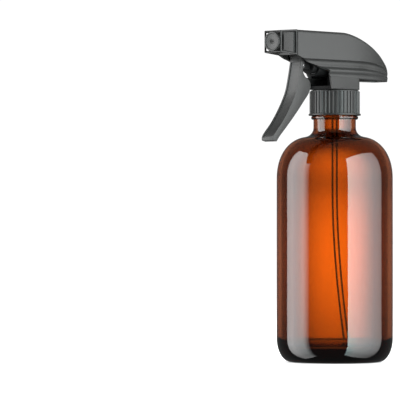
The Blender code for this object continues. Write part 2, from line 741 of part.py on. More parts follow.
def trigger_back():
    """The rear edge of its side webs, from the tip up."""
    return flow([
        (62.6, -34.4), (59.6, -31.0), (52.6, -24.6), (43.2, -15.6), (36.0, -8.0), (31.4, -3.0),
        (29.6, 1.5), (31.0, 5.2), (34.8, 7.6), (37.1, 11.6), (35.8, 18.0), (34.4, TRIGGER_TOP),
    ], 3)


def between_points(kept, line):
    """The kept run, its ends moved half a step out, so that a cut never ends on a line's point."""
    first, last = line.index(kept[0]), line.index(kept[-1])
    ends = [tuple((a + b) / 2 for a, b in zip(line[i], line[i + 1])) for i in (first - 1, last)]
    return [ends[0]] + kept + [ends[1]]


def trigger():
    front, back = trigger_front(), trigger_back()
    piece = plate("trigger", PARTS, front + back, -TRIGGER_HALF, TRIGGER_HALF)
    inner = beside(front, FINGER_WALL)
    kept = [p for p in inner if p[1] > front[-1][1] + 4.5]
    hollow = plate(
        "trigger_hollow", TOOLS, kept + [(kept[-1][0] - 8.0, kept[-1][1] - 1.0), (20.0, -10.0),
                                         (20.0, 26.0)],
        TRIGGER_WEB - TRIGGER_HALF, TRIGGER_HALF - TRIGGER_WEB)
    face = between_points([p for p in front if front[-1][1] + 1.8 < p[1] < 17.5], front)
    recess = plate(
        "trigger_recess", TOOLS, beside(face, FINGER_SUNK) + list(reversed(beside(face, -3.0))),
        FINGER_RIM - TRIGGER_HALF, TRIGGER_HALF - FINGER_RIM)
    cut(piece, hollow, recess)
    join(piece, *trigger_ears(), *link_lugs())
    cut(piece, rod(
        "pivot_hole", TOOLS, TRUNNION_RADIUS + GAP, in_head(-9, *PIVOT), in_head(9, *PIVOT), 16))
    cut(piece, rod(
        "link_hole", TOOLS, LINK_RADIUS + GAP, in_head(-LUG_OUTER - 0.3, *LINK),
        in_head(LUG_OUTER + 0.3, *LINK), 16))
    set_origin(piece, in_head(0, *PIVOT))
    finish(piece, (0.03, 0.03, 0.03), 0.4)


def trigger_ears():
    """Two ears that straddle the barrel, and the bar that carries them."""
    eye = TRUNNION_RADIUS + GAP + EAR_RIM
    outline = arc(PIVOT, (eye, eye), -10, 200, 10) + [(34.0, 20.4), (38.0, 20.4)]
    bar = plate("ear_bar", TOOLS, [(34.2, 20.6), (37.8, 20.6), (37.4, BAR_TOP), (34.4, BAR_TOP)],
                -EAR_OUTER + 0.1, EAR_OUTER - 0.1)
    ears = [plate("ear", TOOLS, outline, EAR_INNER * side, EAR_OUTER * side) for side in (-1, 1)]
    return [bar] + ears


def link_lugs():
    """Two lugs behind the finger face that carry the link pin."""
    eye = LINK_RADIUS + GAP + LUG_RIM
    outline = arc(LINK, (eye, eye), 80, 280, 8) + [(38.6, 11.6), (38.0, 17.6)]
    return [plate("link_lug", TOOLS, outline, LUG_INNER * side, LUG_OUTER * side) for side in (-1, 1)]


def link_pin():
    piece = rod(
        "link_pin", PARTS, LINK_RADIUS, in_head(0.1 - LUG_OUTER, *LINK), in_head(LUG_OUTER - 0.1, *LINK), 16)
    set_origin(piece, in_head(0, *LINK))
    finish(piece, (0.5, 0.5, 0.52), 0.3, 1.0)


# ---------------------------------------------------------------- nozzle

def nozzle_cap():
    """A square tapered cap with a sunk panel on each side; it turns on the barrel."""
    bm = bmesh.new()
    bmesh.ops.create_cube(bm, size=2.0)
    for vert in bm.verts:
        at_front = vert.co.y < 0
        half = CAP_HALF_FRONT if at_front else CAP_HALF_BACK
        forward = CAP_FRONT if at_front else CAP_BACK
        vert.co = in_head(vert.co.x * half, forward, BARREL_HEIGHT + vert.co.z * half)
    bm.normal_update()
    sides = [face for face in bm.faces if abs(face.normal.y) < 0.5]
    bmesh.ops.inset_individual(bm, faces=sides, thickness=PANEL_RIM, depth=-PANEL_SUNK)
    piece = add_mesh("nozzle_cap", bm, PARTS)
    pocket, recess = INSERT_RADIUS + INSERT_PLAY, CAP_FRONT - INSERT_POCKET
    crest = CAP_BORE + SNAP_HEIGHT
    bore = turned("cap_bore", TOOLS, [
        (0.0, CAP_FRONT + 1.0), (pocket, CAP_FRONT + 1.0), (pocket, recess), (CAP_BORE, recess),
        (CAP_BORE, SNAP_AT + 0.9), (crest, SNAP_AT + 0.6), (crest, SNAP_AT - 0.6),
        (CAP_BORE, SNAP_AT - 0.9), (CAP_BORE, CAP_BACK - 1.0), (0.0, CAP_BACK - 1.0),
    ], 28, along=BARREL_HEIGHT)
    cut(piece, bore)
    set_origin(piece, in_head(0, CAP_BACK, BARREL_HEIGHT))
    finish(piece, (0.03, 0.03, 0.03), 0.35, angle=25.0)


def orifice_insert():
    """The round front disc: a raised rim, a dished face and the spray hole."""
    face, back = CAP_FRONT + INSERT_PROUD, CAP_FRONT - INSERT_POCKET + GAP
    hub = CAP_BORE - INSERT_PLAY
    profile = [
        (ORIFICE_RADIUS, face - 1.3), (1.7, face - 0.7), (4.9, face - 0.6), (5.2, face),
        (INSERT_RADIUS - 0.2, face), (INSERT_RADIUS, face - 0.3),
        (INSERT_RADIUS, back), (hub, back),
        (hub, BARREL_FRONT + GAP), (ORIFICE_RADIUS, BARREL_FRONT + GAP),
    ]
    piece = turned("orifice_insert", PARTS, profile, 28, ring=True, along=BARREL_HEIGHT)
    finish(piece, (0.04, 0.04, 0.04), 0.35)


def nozzle_seal():
    inner = BARREL_RADIUS - RING_GROOVE_DEPTH + GAP + 0.05
    seal_ring("nozzle_seal", inner, CAP_BORE - INSERT_PLAY, RING_GROOVE_AT + GAP + 0.05,
              RING_WIDTH, BARREL_HEIGHT)


def outlet_valve():
    """A poppet on the barrel's seat, with a stem that guides its spring."""
    back = VALVE_SEAT_AT + GAP
    head, radius = back + VALVE_HEAD, BARREL_BORE - VALVE_PLAY
    profile = [
        (0.0, head + VALVE_STEM), (VALVE_STEM_RADIUS, head + VALVE_STEM),
        (VALVE_STEM_RADIUS, head), (radius, head), (radius, back), (0.0, back),
    ]
    piece = turned("outlet_valve", PARTS, profile, 16, along=BARREL_HEIGHT)
    finish(piece, (0.75, 0.75, 0.73), 0.4)
    wire = 0.2
    spring = coil(
        "outlet_spring", VALVE_STEM_RADIUS + wire + GAP + 0.15, wire, head + GAP + wire,
        SPINNER_BACK - GAP - wire, 4, BARREL_HEIGHT)
    finish(spring, (0.6, 0.6, 0.62), 0.25, 1.0)


def swirl_spinner():
    """A grooved plug in the barrel's mouth that sets the liquid spinning."""
    radius, start, end = BARREL_BORE - GAP, SPINNER_BACK, BARREL_FRONT - GAP
    bm = bmesh.new()
    ring = []
    for i in range(24):
        angle = math.tau * i / 24
        r = radius - SPINNER_GROOVE if i % 8 in (0, 1) else radius
        ring.append(bm.verts.new(in_head(
            r * math.cos(angle), start, BARREL_HEIGHT + r * math.sin(angle))))
    face = bm.faces.new(ring)
    grown = bmesh.ops.extrude_face_region(bm, geom=[face])
    moved = [v for v in grown["geom"] if isinstance(v, bmesh.types.BMVert)]
    bmesh.ops.translate(bm, vec=(0.0, start - end, 0.0), verts=moved)
    bmesh.ops.recalc_face_normals(bm, faces=bm.faces)
    piece = add_mesh("swirl_spinner", bm, PARTS)
    finish(piece, (0.7, 0.7, 0.68), 0.4)


# ---------------------------------------------------------------- shroud

def shroud_top(forward):
    crown = 2.0
    if forward >= crown:
        return SHROUD_TOP
    base = 8.0
    u = (crown - forward) / (crown - SHROUD_BACK + 0.8)
    return base + (SHROUD_TOP - base) * superellipse(u, 1.55)


def shroud_half(forward):
    """Half width at the groove's upper edge."""
    if forward >= SHROUD_WIDEST:
        share = (forward - SHROUD_WIDEST) / (CAP_BACK - SHROUD_WIDEST)
        return SHROUD_HALF + (CAP_HALF_BACK - SHROUD_HALF) * share
    u = (SHROUD_WIDEST - forward) / (SHROUD_WIDEST - SHROUD_BACK + 1.0)
    return SHROUD_HALF * superellipse(u, 2.8)


def groove_top(forward):
    u = max(0.0, (-12.0 - forward) / (-12.0 - SHROUD_BACK + 1.0))
    return min(8.0 + (GROOVE_TOP - 8.0) * superellipse(u, 2.0), shroud_top(forward) - 0.9)


def shroud_section(forward):
    """Half of the section, from the middle of the top down to the lip, as (sideways, up)."""
    top, half, groove = shroud_top(forward), shroud_half(forward), groove_top(forward)
    fade = min(1.0, max(0.0, (forward - SHROUD_BACK) / 26.0)) ** 0.7
    lean = 1.2 * min(1.0, (top - groove) / (SHROUD_TOP - GROOVE_TOP))
    if forward > 0:
        lean *= 1.0 - forward / CAP_BACK
    corner = min(2.4, (top - groove) * 0.45)
    edge = half - lean
    depth = GROOVE_DEPTH * fade
    low = groove - SHROUD_BOTTOM

    def at(share):
        return SHROUD_BOTTOM + low * share

    return [
        (0.0, top), (edge * 0.5, top - 0.05), (edge - corner, top - 0.15),
        (edge - corner * 0.3, top - corner * 0.35), (edge, top - corner),
        (half, groove),
        (half - depth * 0.75, at(0.88)), (half - depth, at(0.74)),
        (half - depth * 0.7, at(0.57)), (half + 0.3 * fade, at(0.47)),
        (half + 0.3 * fade, at(0.34)), (half - depth * 0.5, at(0.2)),
        (half - depth * 0.5 - 0.3, SHROUD_BOTTOM + 0.7 * fade),
        (half - depth * 0.5 - 1.0 - 0.8 * fade, SHROUD_BOTTOM),
    ]


def shroud_surface():
    """Right half of the shroud's outside, open at the middle and below."""
    turns = (2, 9, 17, 25, 34, 43, 52, 61, 69, 76, 82, 90)
    stations = [CAP_BACK - GAP, 38.0, 28.0, 18.0, 8.0]
    stations += [SHROUD_BACK * math.sin(math.radians(turn)) for turn in turns]
    bm = bmesh.new()
    rows = []
    for forward in stations:
        rows.append([bm.verts.new(in_head(x, forward, up)) for x, up in shroud_section(forward)])
    for near, far in zip(rows, rows[1:]):
        for i in range(len(near) - 1):
            bm.faces.new((near[i], near[i + 1], far[i + 1], far[i]))
    for row, forward in ((rows[0], stations[0]), (rows[-1], stations[-1])):
        foot = bm.verts.new(in_head(0.0, forward, SHROUD_BOTTOM))
        bm.faces.new(row + [foot])
    bmesh.ops.recalc_face_normals(bm, faces=bm.faces)
    side = max(bm.faces, key=lambda f: f.calc_center_median().x)
    if side.normal.x < 0:
        bmesh.ops.reverse_faces(bm, faces=bm.faces)
    return add_mesh("shroud", bm, PARTS)


def shroud_block():
    """The four-sided skirt between the shroud and the collar, wider in front at its top."""
    def ring(bm, inset, up, front):
        half, back, front = BLOCK_HALF - inset, BLOCK_BACK + inset, front - inset
        r = BLOCK_CORNER - inset
        corners = [
            ((half - r, front - r), 0), ((r - half, front - r), 90),
            ((r - half, back + r), 180), ((half - r, back + r), 270),
        ]
        return [
            bm.verts.new(in_head(x, f, up))
            for centre, start in corners for x, f in arc(centre, (r, r), start, start + 90, 4)
        ]

    low, high = GAP, BLOCK_TOP
    bm = bmesh.new()
    rings = [
        ring(bm, 0.0, low, BLOCK_FRONT_LOW), ring(bm, 0.0, high, BLOCK_FRONT_HIGH),
        ring(bm, SHROUD_WALL, high, BLOCK_FRONT_HIGH), ring(bm, SHROUD_WALL, low, BLOCK_FRONT_LOW),
    ]
    for a, b in zip(rings, rings[1:] + rings[:1]):
        for i in range(len(a)):
            j = (i + 1) % len(a)
            bm.faces.new((a[i], a[j], b[j], b[i]))
    bmesh.ops.recalc_face_normals(bm, faces=bm.faces)
    return add_mesh("shroud_block", bm, TOOLS)


def lip_outline():
    """Everything below the shroud's front lip, as a (forward, up) outline."""
    lip = flow([(50.0, 21.2), (45.5, 20.9), (40.5, 18.9), (34.6, 16.7), (27.8, 15.3),
                (21.9, 14.0), (17.6, 12.2), (16.3, 9.7), (17.6, 7.4), (17.8, 5.0)], 3)
    return lip + [(17.8, -2.0), (50.0, -2.0)]


def shroud():
    piece = shroud_surface()
    mirror = piece.modifiers.new("Both sides", "MIRROR")
    mirror.merge_threshold = 0.00002
    mirror.use_clip = True
    shell = piece.modifiers.new("Wall", "SOLIDIFY")
    shell.thickness = SHROUD_WALL * MM
    shell.offset = -1.0
    shell.use_even_offset = True
    lip = plate("shroud_lip", TOOLS, lip_outline(), -20.0, 20.0)
    hole = rod(
        "shroud_barrel_hole", TOOLS, BARREL_RADIUS + GAP + 0.1,
        in_head(0, CAP_BACK - 6, BARREL_HEIGHT), in_head(0, CAP_BACK + 3, BARREL_HEIGHT), 24)
    cut(piece, lip, hole)
    join(piece, shroud_block())
    reach = BLOCK_HALF - SHROUD_WALL - 0.7
    slot = box(
        "saddle_slot", TOOLS, (-reach, BLOCK_BACK - 2.0, SADDLE_BOTTOM - GAP),
        (reach, BLOCK_BACK + 3.0, SADDLE_BOTTOM + SADDLE_THICKNESS + GAP))
    cut(piece, slot)
    finish(piece, (0.03, 0.03, 0.03), 0.4)


# ---------------------------------------------------------------- build

empty_scene()
PARTS = collection("spray_bottle")
TOOLS = collection("cutters")

bottle()
dip_tube()
screw_collar()
bottle_gasket()
neck_adapter()
inlet_ball()
sprayer_body()
piston()
return_spring()
trigger()
link_pin()
nozzle_cap()
orifice_insert()
nozzle_seal()
outlet_valve()
swirl_spinner()
shroud()
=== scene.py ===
# %% [markdown]
# # A trigger spray bottle, one piece at a time
# The real object is a round bottle of blown amber glass with a black trigger sprayer screwed
# on its neck. Its measured solids are loaded first, as a frame that never changes. Every
# finer piece below is then made in that same frame, in metres, so nothing has to be fitted.

# %% Load the measured frame
import math

import bmesh
import bpy
from mathutils import Matrix, Vector


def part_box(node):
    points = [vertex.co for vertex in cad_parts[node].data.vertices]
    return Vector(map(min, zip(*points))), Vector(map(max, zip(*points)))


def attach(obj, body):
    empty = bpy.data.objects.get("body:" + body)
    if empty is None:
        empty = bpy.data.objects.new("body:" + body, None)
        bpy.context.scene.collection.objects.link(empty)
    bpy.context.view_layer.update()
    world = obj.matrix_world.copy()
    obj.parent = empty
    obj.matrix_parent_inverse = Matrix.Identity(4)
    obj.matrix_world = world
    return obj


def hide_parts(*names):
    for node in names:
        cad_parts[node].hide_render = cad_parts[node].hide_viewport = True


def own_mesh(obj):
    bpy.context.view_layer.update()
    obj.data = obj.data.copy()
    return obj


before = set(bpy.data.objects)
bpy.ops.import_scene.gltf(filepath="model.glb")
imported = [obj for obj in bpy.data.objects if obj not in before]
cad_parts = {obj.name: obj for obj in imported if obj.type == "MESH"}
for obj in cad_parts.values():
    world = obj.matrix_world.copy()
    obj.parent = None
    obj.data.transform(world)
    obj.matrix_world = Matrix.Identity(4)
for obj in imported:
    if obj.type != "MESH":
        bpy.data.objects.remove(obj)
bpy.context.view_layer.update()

# %% [markdown]
# ## Where things are
# A sprayer is easiest to describe from two places: the collar's top and the bottle's axis. So
# every place in the head is (sideways, forward, up) in millimetres, and one function turns it
# into metres. The heights themselves are read from the frame, not typed in again.

# %% Places and sizes read from the frame
MM = 0.001
COLLAR_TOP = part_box("screw_collar")[1].z / MM
COLLAR_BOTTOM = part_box("screw_collar")[0].z / MM
BODY_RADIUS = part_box("bottle")[1].x / MM
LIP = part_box("bottle")[1].z / MM


def middle_height(cad_node):
    """How far the middle of a solid stands above the collar's top."""
    low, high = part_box(cad_node)
    return (low.z + high.z) / 2 / MM - COLLAR_TOP


BARREL_HEIGHT = middle_height("orifice_insert")
PUMP_HEIGHT = middle_height("piston_seal_front")


def in_head(sideways, forward, up):
    return Vector((sideways, -forward, COLLAR_TOP + up))


def forward_axis(up):
    """Turns a piece made upright round Z, in metres, to lie along the forward axis."""
    return Matrix.Translation(in_head(0, 0, up) * MM) @ Matrix.Rotation(math.radians(90), 4, "X")


print("collar top %.1f mm, barrel %.1f mm above it" % (COLLAR_TOP, BARREL_HEIGHT))

# %% [markdown]
# ## Points on curves
# Moulded parts are full of arcs and soft curves. Three small functions give their points: an
# elliptical arc, a superellipse for shoulders, and a smooth curve through a few given points.

# %% Curve helpers
def arc(centre, radii, start, end, count):
    turns = [math.radians(start + (end - start) * i / count) for i in range(count + 1)]
    return [(centre[0] + radii[0] * math.cos(t), centre[1] + radii[1] * math.sin(t)) for t in turns]


def superellipse(u, power):
    return (1.0 - min(u, 1.0) ** power) ** (1.0 / power)


def flow(points, per_span):
    """A smooth curve through the points, with per_span steps between two of them."""
    ends = [points[0]] + list(points) + [points[-1]]
    made = []
    for p0, p1, p2, p3 in zip(ends, ends[1:], ends[2:], ends[3:]):
        for i in range(per_span):
            t = i / per_span
            made.append(tuple(
                0.5 * (2 * b + (c - a) * t + (2 * a - 5 * b + 4 * c - d) * t ** 2
                       + (3 * b - a - 3 * c + d) * t ** 3)
                for a, b, c, d in zip(p0, p1, p2, p3)))
    return made + [tuple(points[-1])]


def beside(points, distance):
    """(forward, up) points moved sideways off their own line; positive is backwards."""
    moved = []
    for i, (f, u) in enumerate(points):
        before, after = points[max(i - 1, 0)], points[min(i + 1, len(points) - 1)]
        along = Vector((after[0] - before[0], after[1] - before[1])).normalized()
        moved.append((f + along.y * distance, u - along.x * distance))
    return moved


print("a shoulder half way in stands at %.2f of its rise" % superellipse(0.5, 2.2))

# %% [markdown]
# ## From a shape to a finished piece
# Every piece ends the same way. Its modifiers are settled into a plain mesh, its faces are
# shaded smooth with sharp edges kept by angle, it gets its material, and it is put on the
# body it moves with, standing for the plain solid that it replaces.

# %% Finishing helpers
def raw_mesh(name, points, edges, faces, scale=MM):
    mesh = bpy.data.meshes.new(name)
    mesh.from_pydata([Vector(p) * scale for p in points], edges, faces)
    return mesh


def guide_object(name, mesh):
    guide = bpy.data.objects.new(name, mesh)
    bpy.context.scene.collection.objects.link(guide)
    return guide


def settled(guide):
    """The guide's mesh with its modifiers in it; the guide itself goes."""
    bpy.context.view_layer.update()
    shape = guide.evaluated_get(bpy.context.evaluated_depsgraph_get())
    mesh = bpy.data.meshes.new_from_object(shape)
    bpy.data.objects.remove(guide)
    return mesh


def add_piece(name, mesh, material, angle=32):
    mesh.materials.clear()
    mesh.materials.append(material)
    mesh.shade_smooth()
    mesh.set_sharp_from_angle(angle=math.radians(angle))
    piece = bpy.data.objects.new(name, mesh)
    bpy.context.scene.collection.objects.link(piece)
    print("%s: %d faces" % (name, len(mesh.polygons)))
    return piece


# %% [markdown]
# ## Node helpers
# Geometry Nodes trees and shader groups are both built from nodes and links. A short call
# that makes a node, sets its plain inputs and links the others keeps each tree readable.

# %% Making and linking nodes
def node(tree, kind, inputs=None, **settings):
    made = tree.nodes.new(kind)
    for key, value in settings.items():
        setattr(made, key, value)
    for key, value in (inputs or {}).items():
        if isinstance(value, bpy.types.NodeSocket):
            tree.links.new(value, made.inputs[key])
        else:
            made.inputs[key].default_value = value
    return made


def calc(tree, operation, a, b=0.0):
    return node(tree, "ShaderNodeMath", {0: a, 1: b}, operation=operation).outputs[0]


def new_tree(name, kind, inputs, outputs):
    """An empty node group with named sockets, each given as (name, kind, default)."""
    tree = bpy.data.node_groups.new(name, kind)
    for in_out, sockets in (("INPUT", inputs), ("OUTPUT", outputs)):
        for label, socket_kind, default in sockets:
            socket = tree.interface.new_socket(label, in_out=in_out, socket_type=socket_kind)
            if default is not None:
                socket.default_value = default
    return tree, tree.nodes.new("NodeGroupInput").outputs


GEOMETRY = ("Geometry", "NodeSocketGeometry", None)
MATERIAL = ("Material", "NodeSocketMaterial", None)


def end_tree(tree, shape, material):
    """Realize Instances, Set Material and the output, which close every tree here."""
    plain = node(tree, "GeometryNodeRealizeInstances", {0: shape})
    made = node(tree, "GeometryNodeSetMaterial", {
        "Geometry": plain.outputs[0], "Material": material})
    node(tree, "NodeGroupOutput", {0: made.outputs[0]})
    return tree


def grown(tree, guide_mesh, sizes):
    """The mesh that a tree grows from a guide, its inputs set by identifier first."""
    guide = guide_object(tree.name, guide_mesh)
    modifier = guide.modifiers.new(tree.name, "NODES")
    modifier.node_group = tree
    for socket in tree.interface.items_tree:
        if socket.in_out == "INPUT" and socket.name in sizes:
            modifier[socket.identifier] = sizes[socket.name]
    return settled(guide)


print("node helpers are ready")

# %% [markdown]
# ## The moulded skin
# Plastic, rubber and foam all show the same three things close up: a fine grain from the
# mould, patches where handling has changed the gloss, and a slight drift of colour. One
# shader group gives all three, and each material places it with its own sizes.

# %% Shader group: moulded skin
def moulded_skin():
    tree, given = new_tree("Moulded skin", "ShaderNodeTree", [
        ("Colour", "NodeSocketColor", (0.03, 0.03, 0.03, 1)),
        ("Rubbed colour", "NodeSocketColor", (0.05, 0.05, 0.05, 1)),
        ("Grain scale", "NodeSocketFloat", 2500.0), ("Patch scale", "NodeSocketFloat", 60.0),
        ("Smooth", "NodeSocketFloat", 0.35), ("Rough", "NodeSocketFloat", 0.5),
    ], [
        ("Colour", "NodeSocketColor", None), ("Roughness", "NodeSocketFloat", None),
        ("Height", "NodeSocketFloat", None),
    ])
    place = node(tree, "ShaderNodeTexCoord").outputs["Object"]
    grain = node(tree, "ShaderNodeTexNoise", {
        "Vector": place, "Scale": given["Grain scale"], "Detail": 2.0, "Roughness": 0.6})
    patch = node(tree, "ShaderNodeTexNoise", {
        "Vector": place, "Scale": given["Patch scale"], "Detail": 4.0, "Roughness": 0.55})
    spread = node(tree, "ShaderNodeMapRange", {
        "Value": patch.outputs[0], "From Min": 0.3, "From Max": 0.7})
    gloss = node(tree, "ShaderNodeMapRange", {
        "Value": spread.outputs[0], "To Min": given["Smooth"], "To Max": given["Rough"]})
    colour = node(tree, "ShaderNodeMix", {
        "Factor": calc(tree, "MULTIPLY", spread.outputs[0], 0.6)}, data_type="RGBA")
    # The Mix node has a socket set for each data type, so its colour ones are linked by index.
    tree.links.new(given["Colour"], colour.inputs[6])
    tree.links.new(given["Rubbed colour"], colour.inputs[7])
    node(tree, "NodeGroupOutput", {
        "Colour": colour.outputs[2], "Roughness": gloss.outputs[0], "Height": grain.outputs[0]})
    return tree


MOULDED_SKIN = moulded_skin()
print("moulded skin:", len(MOULDED_SKIN.nodes), "nodes")

# %% [markdown]
# ## A material from the skin
# Each finish is a Principled shader of its own. What changes over the surface comes from the
# skin group through links. What is the same everywhere, such as the specular level, is set
# straight on the shader, where an exporter can read it.

# %% Materials for plastic, rubber, foam and steel
def skin_material(name, skin, bump=0.04, depth=0.00002, constants=()):
    material = bpy.data.materials.new(name)
    material.use_nodes = True
    tree = material.node_tree
    shader = tree.nodes["Principled BSDF"]
    for key, value in constants:
        shader.inputs[key].default_value = value
    group = node(tree, "ShaderNodeGroup", node_tree=MOULDED_SKIN)
    for key, value in skin.items():
        group.inputs[key].default_value = value
    tree.links.new(group.outputs["Colour"], shader.inputs["Base Color"])
    tree.links.new(group.outputs["Roughness"], shader.inputs["Roughness"])
    relief = node(tree, "ShaderNodeBump", {
        "Strength": bump, "Distance": depth, "Height": group.outputs["Height"]})
    tree.links.new(relief.outputs[0], shader.inputs["Normal"])
    return material


def grey(value, warmth=0.0):
    return (value * (1 + warmth), value, value * (1 - warmth), 1.0)


BLACK_PLASTIC = skin_material("satin black polypropylene", {
    "Colour": grey(0.018, 0.02), "Rubbed colour": grey(0.026, 0.02),
    "Grain scale": 2600.0, "Patch scale": 55.0, "Smooth": 0.36, "Rough": 0.44}, bump=0.25,
    constants=[("Specular IOR Level", 0.3)])
NOZZLE_PLASTIC = skin_material("half-gloss black nozzle", {
    "Colour": grey(0.012, 0.02), "Rubbed colour": grey(0.018, 0.02),
    "Grain scale": 3200.0, "Patch scale": 90.0, "Smooth": 0.26, "Rough": 0.34}, bump=0.15,
    constants=[("Specular IOR Level", 0.25)])
# A near-black that paints the shade inside the head, for the sprayer body and the piston.
PAINTED_SHADE_BLACK = skin_material("black plastic darkened as painted shade", {
    "Colour": grey(0.004), "Rubbed colour": grey(0.007),
    "Grain scale": 1800.0, "Patch scale": 90.0, "Smooth": 0.7, "Rough": 0.85}, bump=0.2,
    constants=[("Specular IOR Level", 0.15)])
NATURAL_PLASTIC = skin_material("natural polypropylene", {
    "Colour": (0.72, 0.71, 0.66, 1), "Rubbed colour": (0.66, 0.65, 0.6, 1),
    "Grain scale": 1900.0, "Patch scale": 80.0, "Smooth": 0.35, "Rough": 0.5}, bump=0.15,
    constants=[("Subsurface Weight", 0.15), ("Subsurface Scale", 0.002)])
SEAL_RUBBER = skin_material("nitrile rubber", {
    "Colour": grey(0.02), "Rubbed colour": grey(0.035),
    "Grain scale": 2200.0, "Patch scale": 150.0, "Smooth": 0.5, "Rough": 0.65}, bump=0.25)
GASKET_FOAM = skin_material("white foam gasket", {
    "Colour": (0.74, 0.73, 0.7, 1), "Rubbed colour": (0.6, 0.58, 0.54, 1),
    "Grain scale": 4200.0, "Patch scale": 120.0, "Smooth": 0.8, "Rough": 0.95},
    bump=0.6, depth=0.00008)
STEEL = skin_material("drawn steel", {
    "Colour": (0.56, 0.57, 0.58, 1), "Rubbed colour": (0.46, 0.46, 0.47, 1),
    "Grain scale": 5200.0, "Patch scale": 260.0, "Smooth": 0.2, "Rough": 0.36}, bump=0.1,
    constants=[("Metallic", 1.0)])
print("skin materials:", len(bpy.data.materials))

# %% [markdown]
# ## Amber glass
# Amber bottles are coloured through and through, so the solid heel is almost black while the
# thin wall lets orange through. Absorption inside the glass gives the heel. A tint along the
# height darkens the glass towards the heel and under the shoulder: partly the thicker wall of a
# blown bottle there, partly painted shade for the light seen through it. Layer Weight deepens
# the colour where glass is seen edge-on: partly the longer path through the wall, partly painted
# shade for the dark surroundings that such edges show.

# %% Material: amber glass
GLASS_TINT = (0.93, 0.4, 0.04, 1)
# Colour at the glass's edges: partly the longer path through the wall, partly painted shade for the
# dark surroundings seen there.
EDGE_DEPTH_AND_SHADE = (0.2, 0.08, 0.05, 1)


def amber_glass():
    material = bpy.data.materials.new("amber glass")
    material.use_nodes = True
    tree = material.node_tree
    shader = tree.nodes["Principled BSDF"]
    shader.inputs["Transmission Weight"].default_value = 1.0
    shader.inputs["IOR"].default_value = 1.5
    place = node(tree, "ShaderNodeTexCoord").outputs["Object"]
    height = node(tree, "ShaderNodeSeparateXYZ", {0: place}).outputs[2]
    share = node(tree, "ShaderNodeMapRange", {
        "Value": height, "From Min": 0.0, "From Max": LIP * MM}).outputs[0]
    wall = node(tree, "ShaderNodeValToRGB", {0: share})
    # These stops darken the glass towards the heel and under the shoulder: partly a thicker wall,
    # partly painted shade for the light seen through the glass.
    thickness_and_shade_stops = [(0.0, 0.03), (0.04, 0.03), (0.055, 0.1), (0.07, 0.55), (0.09, 0.64), (0.2, 0.8),
             (0.37, 1.0), (0.52, 0.95), (0.62, 0.8), (0.685, 0.62), (0.74, 0.8), (0.82, 0.92),
             (0.845, 0.5), (0.87, 0.3), (0.89, 0.8), (0.93, 0.6)]
    ramp = wall.color_ramp
    ramp.interpolation = "B_SPLINE"
    while len(ramp.elements) < len(thickness_and_shade_stops):
        ramp.elements.new(0.5)
    for stop, (at, value) in zip(ramp.elements, thickness_and_shade_stops):
        stop.position = at
        stop.color = grey(value)
    # Layer Weight mixes in the edge colour, which is partly painted shade.
    edge = node(tree, "ShaderNodeLayerWeight", {"Blend": 0.5}).outputs["Facing"]
    edge_shade = node(tree, "ShaderNodeMapRange", {
        "Value": edge, "From Min": 0.0, "From Max": 0.27})
    tint = node(tree, "ShaderNodeMix", {"Factor": edge_shade.outputs[0]}, data_type="RGBA")
    tint.inputs[6].default_value = GLASS_TINT
    tint.inputs[7].default_value = EDGE_DEPTH_AND_SHADE
    colour = node(tree, "ShaderNodeMix", {"Factor": 1.0}, data_type="RGBA", blend_type="MULTIPLY")
    tree.links.new(tint.outputs[2], colour.inputs[6])
    tree.links.new(wall.outputs[0], colour.inputs[7])
    tree.links.new(colour.outputs[2], shader.inputs["Base Color"])
    skin = node(tree, "ShaderNodeGroup", node_tree=MOULDED_SKIN)
    sizes = {"Grain scale": 45.0, "Patch scale": 30.0, "Smooth": 0.0, "Rough": 0.02}
    for key, value in sizes.items():
        skin.inputs[key].default_value = value
    tree.links.new(skin.outputs["Roughness"], shader.inputs["Roughness"])
    relief = node(tree, "ShaderNodeBump", {
        "Strength": 0.02, "Distance": 0.0005, "Height": skin.outputs["Height"]})
    tree.links.new(relief.outputs[0], shader.inputs["Normal"])
    inside = node(tree, "ShaderNodeVolumeAbsorption", {
        "Color": (0.7, 0.35, 0.1, 1), "Density": 150.0})
    tree.links.new(inside.outputs[0], tree.nodes["Material Output"].inputs["Volume"])
    return material


def clear_tube():
    """Polyethylene tube: almost clear, with painted shade that darkens it where it is seen edge-on.
    """
    material = bpy.data.materials.new("clear polyethylene tube")
    material.use_nodes = True
    tree = material.node_tree
    shader = tree.nodes["Principled BSDF"]
    shader.inputs["Transmission Weight"].default_value = 1.0
    shader.inputs["IOR"].default_value = 1.5
    edge = node(tree, "ShaderNodeLayerWeight", {"Blend": 0.5}).outputs["Facing"]
    edge_shade = node(tree, "ShaderNodeMapRange", {
        "Value": edge, "From Min": 0.02, "From Max": 0.22}, interpolation_type="SMOOTHSTEP")
    tint = node(tree, "ShaderNodeMix", {"Factor": edge_shade.outputs[0]}, data_type="RGBA")
    tint.inputs[6].default_value = (0.97, 0.97, 0.95, 1)
    # Near-black painted shade at the edges, where the tube is seen edge-on.
    tint.inputs[7].default_value = (0.01, 0.006, 0.005, 1)
    tree.links.new(tint.outputs[2], shader.inputs["Base Color"])
    skin = node(tree, "ShaderNodeGroup", node_tree=MOULDED_SKIN)
    sizes = {"Grain scale": 900.0, "Patch scale": 120.0, "Smooth": 0.03, "Rough": 0.08}
    for key, value in sizes.items():
        skin.inputs[key].default_value = value
    tree.links.new(skin.outputs["Roughness"], shader.inputs["Roughness"])
    return material


AMBER_GLASS = amber_glass()
CLEAR_TUBE = clear_tube()
print("glass tint through one wall:", GLASS_TINT[:3])

# %% [markdown]
# ## A lathe in Geometry Nodes
# The bottle, the collar and most inner parts are turned shapes: one profile carried round an
# axis. The tree sweeps the profile round a circle one metre in radius, so the profile is drawn
# that metre back. The poles are closed by merging points.

